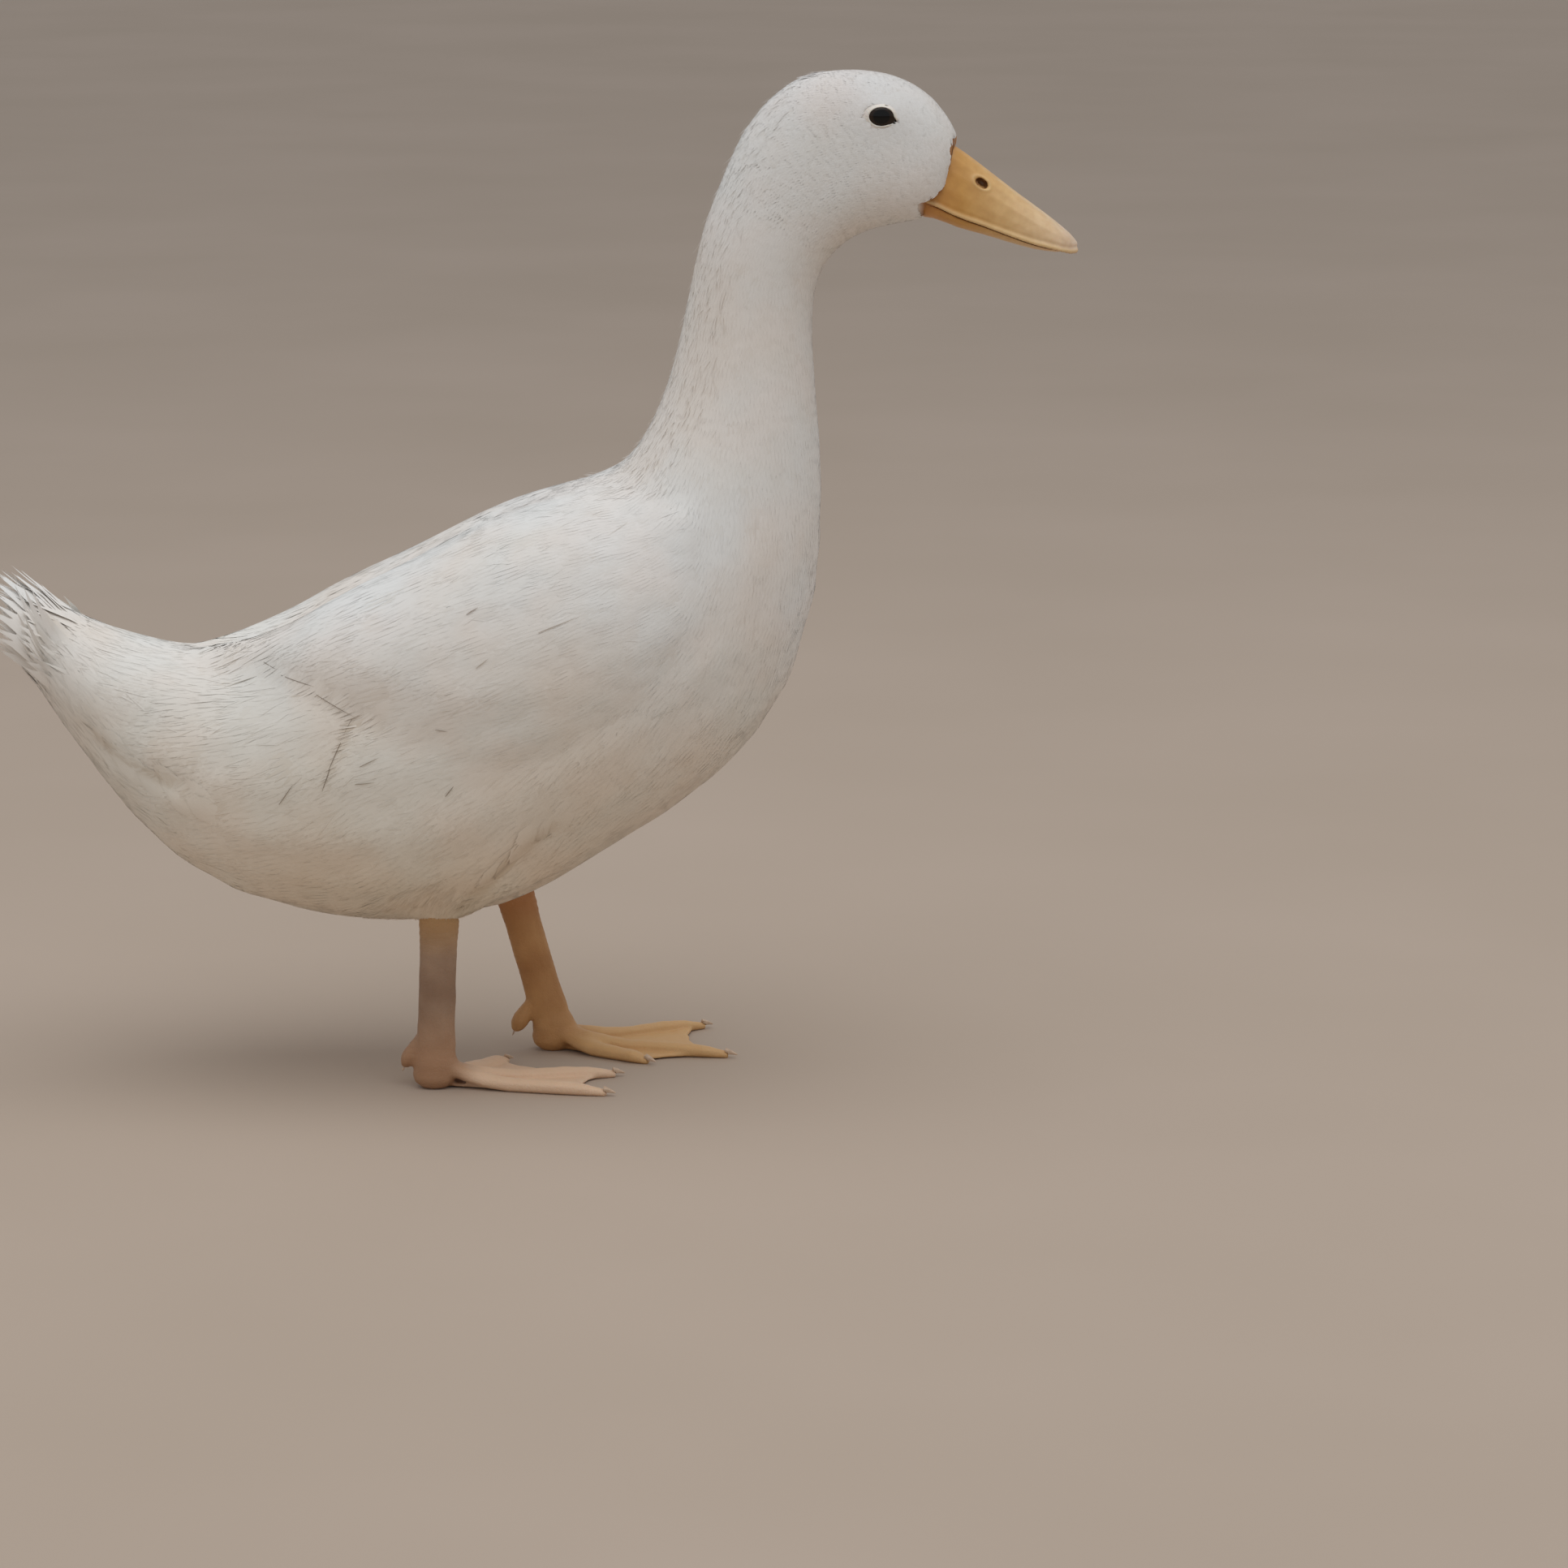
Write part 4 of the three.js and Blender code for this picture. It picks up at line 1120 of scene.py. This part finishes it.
def tail_fan(shade):
    """The tail's feathers and their coverts, long pointed vanes in layers."""
    coat = Coat("tail_fan")
    pattern = vane_pattern(10, 6, 0.95, 0.5, 0.5)
    for share in INSIDE_SHARES:
        tail_layer(coat, pattern, {**TAIL, **TAIL_INSIDE}, share, 0.5)
    tail_layer(coat, pattern, TAIL)
    tail_layer(coat, pattern, TAIL_COVERTS)
    coat.finish(shade)


def tail_layer(coat, pattern, layer, share=1, shift=0):
    """One layer of the tail: its feathers turn round the arc, and each lies a little over the next."""
    along, across, _, tip = pattern
    number, style = len(along), TAIL_STYLE
    width_along = np.interp(along, *TAIL_WIDTHS)
    root, tip_place = np.array(layer["root"]), np.array(layer["tip"])
    for k in range(-layer["feathers"], layer["feathers"] + 1):
        part = (k + shift) / layer["feathers"]
        turn = part * layer["arc"] + chance.normal(0, style["turn"])
        outward = np.array([0, share * math.sin(turn), share * math.cos(turn) - 1])
        further = np.array([np.interp(abs(part), *layer["further"]), 0, 0])
        start = root + outward * layer["root_radius"] + further * 0.5
        ahead = tip_place + outward * layer["tip_radius"] + further - start
        length = np.linalg.norm(ahead)
        ahead = ahead / length
        side = np.array([0, math.cos(turn), -math.sin(turn)])
        side = unit(side - ahead * (side @ ahead) + ahead * chance.normal(0, style["turn"]))
        up = np.cross(side, ahead)
        ragged = chance.normal(0, style["ragged"], number) * smoothstep(*style["ragged_from"], along)
        ragged = (along + ragged) * (chance.uniform(*style["vary"]) * (0.9 + 0.1 * share))
        aside = across * width_along + chance.normal(0, style["fray"], number) * tip
        bow = style["camber"] * aside**2 + style["arch"] * ragged * (1 - ragged)
        bow -= style["over"] * aside * np.sign(part)
        points = start + ahead * (ragged * length)[:, None]
        points = points + side * (aside * layer["half_width"])[:, None] - up * bow[:, None]
        normals = up + side * (across * style["tilt"])[:, None]
        tone = style["tone"] + chance.normal(0, style["tones"])
        tones = tone + chance.normal(0, style["barb_tones"], number) * tip
        coat.add(points[None] * MM, normals[None], pattern, tones[None], start[None] * MM)


# Materials


def material(name, build):
    """A node material whose tree is filled by build(tree, shader)."""
    made = bpy.data.materials.new(name)
    made.use_nodes = True
    tree = made.node_tree
    build(tree, tree.nodes["Principled BSDF"])
    return made


def set_inputs(node, **values):
    """Sets the defaults of a node's inputs, named with underscores for spaces."""
    for key, value in values.items():
        node.inputs[key.replace("_", " ")].default_value = value


def add(tree, kind, **values):
    """A shader node with its properties and the defaults of its inputs set by name."""
    node = tree.nodes.new(kind)
    for key, value in values.items():
        if hasattr(node, key):
            setattr(node, key, value)
        else:
            set_inputs(node, **{key: value})
    return node


def object_place(tree):
    return tree.nodes.new("ShaderNodeTexCoord").outputs["Object"]


def ramp(tree, factor, stops):
    """A colour ramp over a factor: stops of (place, (red, green, blue))."""
    node = tree.nodes.new("ShaderNodeValToRGB")
    tree.links.new(factor, node.inputs["Fac"])
    while len(node.color_ramp.elements) < len(stops):
        node.color_ramp.elements.new(0.5)
    for element, (place, colour) in zip(node.color_ramp.elements, stops):
        element.position = place
        element.color = (*colour, 1)
    return node.outputs["Color"]


def noise(tree, scale, detail=3.0, coordinates=None, stretch=None):
    """A noise of a scale over object coordinates, or over others, stretched along each axis."""
    node = add(tree, "ShaderNodeTexNoise", Scale=scale, Detail=detail)
    coordinates = coordinates or object_place(tree)
    if stretch:
        mapping = add(tree, "ShaderNodeMapping", Scale=stretch)
        tree.links.new(coordinates, mapping.inputs["Vector"])
        coordinates = mapping.outputs["Vector"]
    tree.links.new(coordinates, node.inputs["Vector"])
    return node.outputs["Fac"]


def attribute(tree, name):
    return add(tree, "ShaderNodeAttribute", attribute_name=name).outputs["Fac"]


def bump(tree, shader, height, strength, distance):
    node = add(tree, "ShaderNodeBump", Strength=strength, Distance=distance * MM)
    tree.links.new(height, node.inputs["Height"])
    tree.links.new(node.outputs["Normal"], shader.inputs["Normal"])


def mixed(tree, factor, one, two, blend_type="MIX"):
    """A colour mixed from two sockets or colours."""
    node = tree.nodes.new("ShaderNodeMix")
    node.data_type = "RGBA"
    node.blend_type = blend_type
    for socket, value in ((node.inputs["Factor"], factor), (node.inputs[6], one), (node.inputs[7], two)):
        if isinstance(value, bpy.types.NodeSocket):
            tree.links.new(value, socket)
        else:
            socket.default_value = value if isinstance(value, (int, float)) else (*value, 1)
    return node.outputs[2]


def by_axis(tree, axis, stops):
    """A colour ramp along an axis of the object: stops of (millimetres, colour)."""
    place = tree.nodes.new("ShaderNodeSeparateXYZ")
    tree.links.new(object_place(tree), place.inputs["Vector"])
    low, high = stops[0][0], stops[-1][0]
    part = add(tree, "ShaderNodeMapRange", From_Min=low * MM, From_Max=high * MM)
    tree.links.new(place.outputs[axis], part.inputs["Value"])
    return ramp(tree, part.outputs["Result"], [((at - low) / (high - low), colour) for at, colour in stops])


def rise_along(tree, axis, low, high, most=1):
    """A factor along an axis of the object, in millimetres: 0 at low, and its most at high."""
    return by_axis(tree, axis, [(low, (0, 0, 0)), (high, (most, most, most))])


def plumage(tree, shader):
    """White feathers, each a little warmer or cooler than the next, warmer below, with fine barbs, and
    painted shade along the creases and in thin dark lines.
    """
    # The darkest stops of the tone ramp are painted shade: they colour the creases and the thin dark shadow
    # lines.
    stops = [(0.0, (0.30, 0.25, 0.21)), (0.12, (0.72, 0.67, 0.60)), (0.45, (0.855, 0.84, 0.812))]
    each = ramp(tree, attribute(tree, "ToneAndPaintedShade"), [*stops, (1.0, (0.91, 0.897, 0.875))])
    patches = ramp(tree, noise(tree, 14.0), [(0.38, (0.96, 0.92, 0.87)), (0.58, (1, 1, 1))])
    blush = ramp(tree, noise(tree, 27.0, 2.0), [(0.4, (1, 0.97, 0.955)), (0.6, (0.97, 0.99, 1.0))])
    colour = mixed(tree, 0.75, mixed(tree, 0.7, each, patches, "MULTIPLY"), blush, "MULTIPLY")
    low_stops = [(60, (1.0, 0.905, 0.745)), (110, (0.985, 0.92, 0.82)), (150, (0.98, 0.945, 0.885))]
    high_stops = [(200, (1, 1, 1)), (385, (1, 1, 1)), (412, (0.9, 0.885, 0.89))]
    colour = mixed(tree, 1.0, colour, by_axis(tree, "Z", low_stops + high_stops), "MULTIPLY")
    vane = add(tree, "ShaderNodeUVMap", uv_map="Vane").outputs["UV"]
    barbs = noise(tree, 3.0, 2.0, vane, (1.6, 14, 1))
    streaks = ramp(tree, barbs, [(0.34, (0.94, 0.93, 0.915)), (0.5, (1, 1, 1))])
    tree.links.new(mixed(tree, 0.7, colour, streaks, "MULTIPLY"), shader.inputs["Base Color"])
    bump(tree, shader, barbs, 0.12, 0.2)
    set_inputs(shader, Roughness=0.8, Specular_IOR_Level=0.2, Sheen_Weight=0.2, Sheen_Roughness=0.6)


def bare_skin(tree, shader):
    """Pale under the coat, pale yellow on the lids' rims, and orange to tan with fine scales on the legs."""
    patches = noise(tree, 60.0, 4.0)
    near = ramp(tree, patches, [(0.3, (0.28, 0.165, 0.10)), (0.7, (0.42, 0.275, 0.18))])
    near = mixed(tree, rise_along(tree, "Z", 34, 14, 0.8), near, (0.44, 0.233, 0.12))
    far = ramp(tree, patches, [(0.3, (0.42, 0.195, 0.065)), (0.7, (0.58, 0.31, 0.12))])
    on_left = attribute(tree, "Left")
    toes = mixed(tree, on_left, (0.80, 0.56, 0.38), (0.68, 0.41, 0.18))
    colour = mixed(tree, attribute(tree, "Toe"), mixed(tree, on_left, near, far), toes)
    ankles = mixed(tree, on_left, (0.66, 0.38, 0.145), (0.45, 0.16, 0.055))
    colour = mixed(tree, rise_along(tree, "Z", 55, 75, 0.8), colour, ankles)
    colour = mixed(tree, rise_along(tree, "Z", 80, 92), colour, (0.80, 0.74, 0.68))
    colour = mixed(tree, rise_along(tree, "X", 154, 157), colour, (0.42, 0.18, 0.05))
    colour = mixed(tree, attribute(tree, "Rim"), colour, (0.82, 0.77, 0.69))
    tree.links.new(colour, shader.inputs["Base Color"])
    cells = add(tree, "ShaderNodeTexVoronoi", feature="DISTANCE_TO_EDGE", Scale=640.0)
    tree.links.new(object_place(tree), cells.inputs["Vector"])
    edges = ramp(tree, cells.outputs["Distance"], [(0.0, (0, 0, 0)), (0.12, (1, 1, 1))])
    bump(tree, shader, edges, 0.35, 0.22)
    set_inputs(shader, Roughness=0.55, Subsurface_Weight=0.1, Subsurface_Radius=(0.003, 0.0015, 0.0008))


def horn(tree, shader):
    """The bill: waxy orange-yellow, paler and pinker to its tip, with painted shade in the nostril, under the
    upper bill and in the gape.
    """
    stops = [(158, (0.60, 0.27, 0.065)), (172, (0.66, 0.35, 0.09)), (190, (0.74, 0.48, 0.21))]
    stops += [(208, (0.80, 0.58, 0.35)), (219, (0.80, 0.60, 0.44))]
    spots = ramp(tree, noise(tree, 240.0, 4.0), [(0.35, (0.88, 0.83, 0.76)), (0.65, (1, 1, 1))])
    colour = mixed(tree, 0.8, by_axis(tree, "X", stops), spots, "MULTIPLY")
    colour = mixed(tree, attribute(tree, "Pale"), colour, (0.80, 0.56, 0.27))
    # Painted shade: darker in the nostrils' hollows, under the upper bill and in the gape
    colour = mixed(tree, attribute(tree, "PaintedShade"), colour, (0.22, 0.085, 0.03))
    tree.links.new(colour, shader.inputs["Base Color"])
    bump(tree, shader, noise(tree, 900.0, 3.0), 0.15, 0.15)
    set_inputs(shader, Roughness=0.42, Subsurface_Weight=0.12, Subsurface_Radius=(0.004, 0.002, 0.001))


def wet_eye(tree, shader):
    """A black pupil in a dark brown iris under a wet surface. Ring is the angle from the eye's axis."""
    stops = [(0.0, (0.003, 0.003, 0.003)), (0.38, (0.003, 0.003, 0.003)), (0.44, (0.022, 0.012, 0.007))]
    stops += [(0.7, (0.03, 0.018, 0.01)), (0.8, (0.008, 0.006, 0.005))]
    colour = ramp(tree, attribute(tree, "Ring"), stops)
    fleck = ramp(tree, noise(tree, 1500.0), [(0.3, (0.6, 0.6, 0.6)), (0.7, (1, 1, 1))])
    tree.links.new(mixed(tree, 0.7, colour, fleck, "MULTIPLY"), shader.inputs["Base Color"])
    set_inputs(shader, Roughness=0.15, Specular_IOR_Level=0.1, Coat_Weight=0.4, Coat_Roughness=0.03)


def claw_horn(tree, shader):
    """Pale horn, darker in streaks."""
    streaks = ramp(tree, noise(tree, 700.0), [(0.3, (0.52, 0.36, 0.24)), (0.7, (0.68, 0.50, 0.36))])
    tree.links.new(streaks, shader.inputs["Base Color"])
    bump(tree, shader, noise(tree, 1500.0), 0.2, 0.1)
    set_inputs(shader, Roughness=0.4)


def ground(tree, shader):
    """A pale sandy floor."""
    shade = ramp(tree, noise(tree, 3.0), [(0.3, (0.48, 0.385, 0.305)), (0.7, (0.51, 0.41, 0.33))])
    tree.links.new(shade, shader.inputs["Base Color"])
    set_inputs(shader, Roughness=0.9)


# Bill, eyes and claws

NOSTRIL = {"x": 180, "z": 367.6, "half_length": 3.2, "half_height": 1.75, "pitch": 0.62}
NOSTRIL_LIP = {"height": 0.3, "middle": 1.25, "width": 0.25, "above": 355, "hollow": 1.1}
# The bill's raised rim and the groove above it: their heights over the lower edge, widths and reliefs
RIM = {"middle": 1.1, "width": 0.85, "proud": 0.42}
GROOVE = {"middle": 2.7, "width": 0.7, "depth": 0.22}
BILL_FRONT = 208  # ahead of this x the rim runs round the bill's tip


def smooth_node(node, size, rounds):
    """A CAD node's solid as a fine smooth mesh."""
    mesh = remeshed(solids([node]), size)
    edges = edges_of(mesh)
    move_points(mesh, relax(relax(points_of(mesh), edges, rounds), edges, rounds, -0.42))
    smooth(mesh)
    return mesh


def carry(mesh, name, node, shade):
    """A mesh as the piece that stands for a CAD node."""
    mesh.name = name
    mesh.materials.clear()
    mesh.materials.append(shade)
    made = new_object(name, mesh)
    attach(made, "root")
    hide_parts(node)


def nostril_distance(points):
    """How far points are from the middle of a nostril as seen from the side, in lengths of it."""
    x = points[:, 0] / MM - NOSTRIL["x"]
    z = points[:, 2] / MM - NOSTRIL["z"]
    turn = NOSTRIL["pitch"]
    ahead = x * math.cos(turn) - z * math.sin(turn)
    above = x * math.sin(turn) + z * math.cos(turn)
    return np.hypot(ahead / NOSTRIL["half_length"], above / NOSTRIL["half_height"])


def shape_upper_bill(mesh):
    """The upper bill's raised rim along its lower edge, the groove above it, and the nostrils' lips."""
    points = points_of(mesh)
    normals = normals_of(mesh)
    x = points[:, 0] / MM
    bins = np.arange(155, 220, 1.5)
    lows = [points[np.abs(x - at) < 1.2, 2].min() / MM for at in bins]
    above = points[:, 2] / MM - np.interp(x, bins, lows)
    sideways = np.abs(normals[:, 1])
    flank = smoothstep(0.15, 0.6, sideways + 0.5 * np.abs(normals[:, 0]) * (x > BILL_FRONT))
    rim = bell((above - RIM["middle"]) / RIM["width"]) * flank
    groove = bell((above - GROOVE["middle"]) / GROOVE["width"]) * flank
    near = nostril_distance(points)
    lip = bell((near - NOSTRIL_LIP["middle"]) / NOSTRIL_LIP["width"])
    lip = lip * (points[:, 2] > NOSTRIL_LIP["above"] * MM)
    out = RIM["proud"] * rim - GROOVE["depth"] * groove + NOSTRIL_LIP["height"] * lip
    out -= NOSTRIL_LIP["hollow"] * fade(0.55, 1.0, near) * (sideways > 0.3)
    move_points(mesh, points + normals * (out * MM)[:, None])
    add_values(mesh, "Pale", rim * 0.8 + 0.35 * lip)
    # Painted shade in the nostrils' hollows and on the faces that look down under the upper bill
    painted_underside_shade = smoothstep(0.5, 0.9, -normals[:, 2]) * 0.5
    add_values(mesh, "PaintedShade", np.maximum(fade(0.6, 1.0, near) * 0.85, painted_underside_shade))


def bill():
    shade = material("bill", horn)
    for half in ("upper", "lower"):
        mesh = smooth_node(f"bill_{half}", VOXELS["bill"], 12)
        if half == "upper":
            shape_upper_bill(mesh)
        else:
            add_values(mesh, "Pale", np.zeros(len(mesh.vertices)))
            # Painted shade on the faces that look up into the gape under the upper bill
            add_values(mesh, "PaintedShade", smoothstep(0.5, 0.9, normals_of(mesh)[:, 2]) * 0.6)
        carry(mesh, f"{half}_bill", f"bill_{half}", shade)


def eyes():
    """The eyeballs, their rims drawn in behind the lids."""
    shade = material("eye", wet_eye)
    for name, side in SIDES.items():
        shape = bmesh.new()
        bmesh.ops.create_uvsphere(shape, u_segments=64, v_segments=40, radius=EYE["radius"] * MM)
        mesh = bpy.data.meshes.new("eyeball")
        shape.to_mesh(mesh)
        shape.free()
        points = points_of(mesh)
        points = np.stack([points[:, 0], points[:, 2] * side, -points[:, 1] * side], 1)
        add_values(mesh, "Ring", np.arccos(np.clip(points[:, 1] * side / (EYE["radius"] * MM), -1, 1)))
        points[:, 0] *= EYE["long"]
        points += np.array([EYE["x"], EYE["y"] * side, EYE["z"]]) * MM
        tuck = smoothstep(*EYE_TUCK["between"], eye_distance(points))
        points[:, 1] -= side * EYE_TUCK["depth"] * MM * tuck
        move_points(mesh, points)
        smooth(mesh)
        carry(mesh, f"eyeball_{name}", f"eye_{name}", shade)


def claws():
    shade = material("claw", claw_horn)
    for node in [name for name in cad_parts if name.startswith("claw_")]:
        mesh = smooth_node(node, VOXELS["claw"], 4)
        carry(mesh, node.replace("claw_", "nail_"), node, shade)


# The stage. The camera's focal length is in pixels of the photo.

CAMERA = {"focal": 7000, "photo": 1932, "sensor": 36, "place": (100.78, -2286.5, 585.5), "pitch": 11.5}
SOFTBOX = {"place": (0.1, -0.4, 2.2), "target": (0.05, 0, 0.2), "size": 2.6, "energy": 24}
SKY = {"Color": (0.95, 0.97, 1.0, 1), "Strength": 0.5}


def stage():
    """A plain pale floor, soft light from above and the photograph's camera."""
    bpy.ops.mesh.primitive_plane_add(size=60)
    floor = bpy.context.object
    floor.name = "floor"
    floor.data.materials.append(material("floor", ground))

    world = bpy.data.worlds.new("soft_light")
    bpy.context.scene.world = world
    world.use_nodes = True
    set_inputs(world.node_tree.nodes["Background"], **SKY)

    light = bpy.data.lights.new("overhead", "AREA")
    light.size = SOFTBOX["size"]
    light.energy = SOFTBOX["energy"]
    softbox = new_object("overhead", light)
    softbox.location = SOFTBOX["place"]
    down = Vector(SOFTBOX["target"]) - Vector(SOFTBOX["place"])
    softbox.rotation_euler = down.to_track_quat("-Z", "Y").to_euler()

    camera = bpy.data.cameras.new("camera")
    camera.sensor_width = CAMERA["sensor"]
    camera.lens = CAMERA["focal"] / CAMERA["photo"] * CAMERA["sensor"]
    camera.clip_end = 100
    made = new_object("camera", camera)
    made.location = Vector(CAMERA["place"]) * MM
    made.rotation_euler = (math.radians(90 - CAMERA["pitch"]), 0, 0)
    bpy.context.scene.camera = made
    bpy.context.scene.view_settings.view_transform = "Standard"


# The duck


def duck():
    body_mesh = body_skin()
    surface = coat_surface(body_mesh)
    skin(body_mesh)
    bill()
    eyes()
    claws()
    shade = material("plumage", plumage)
    body_coat(surface, shade)
    wing_coat(surface, shade)
    edge_feathers(surface, shade)
    wisps(surface, shade)
    tail_fan(shade)


stage()
duck()
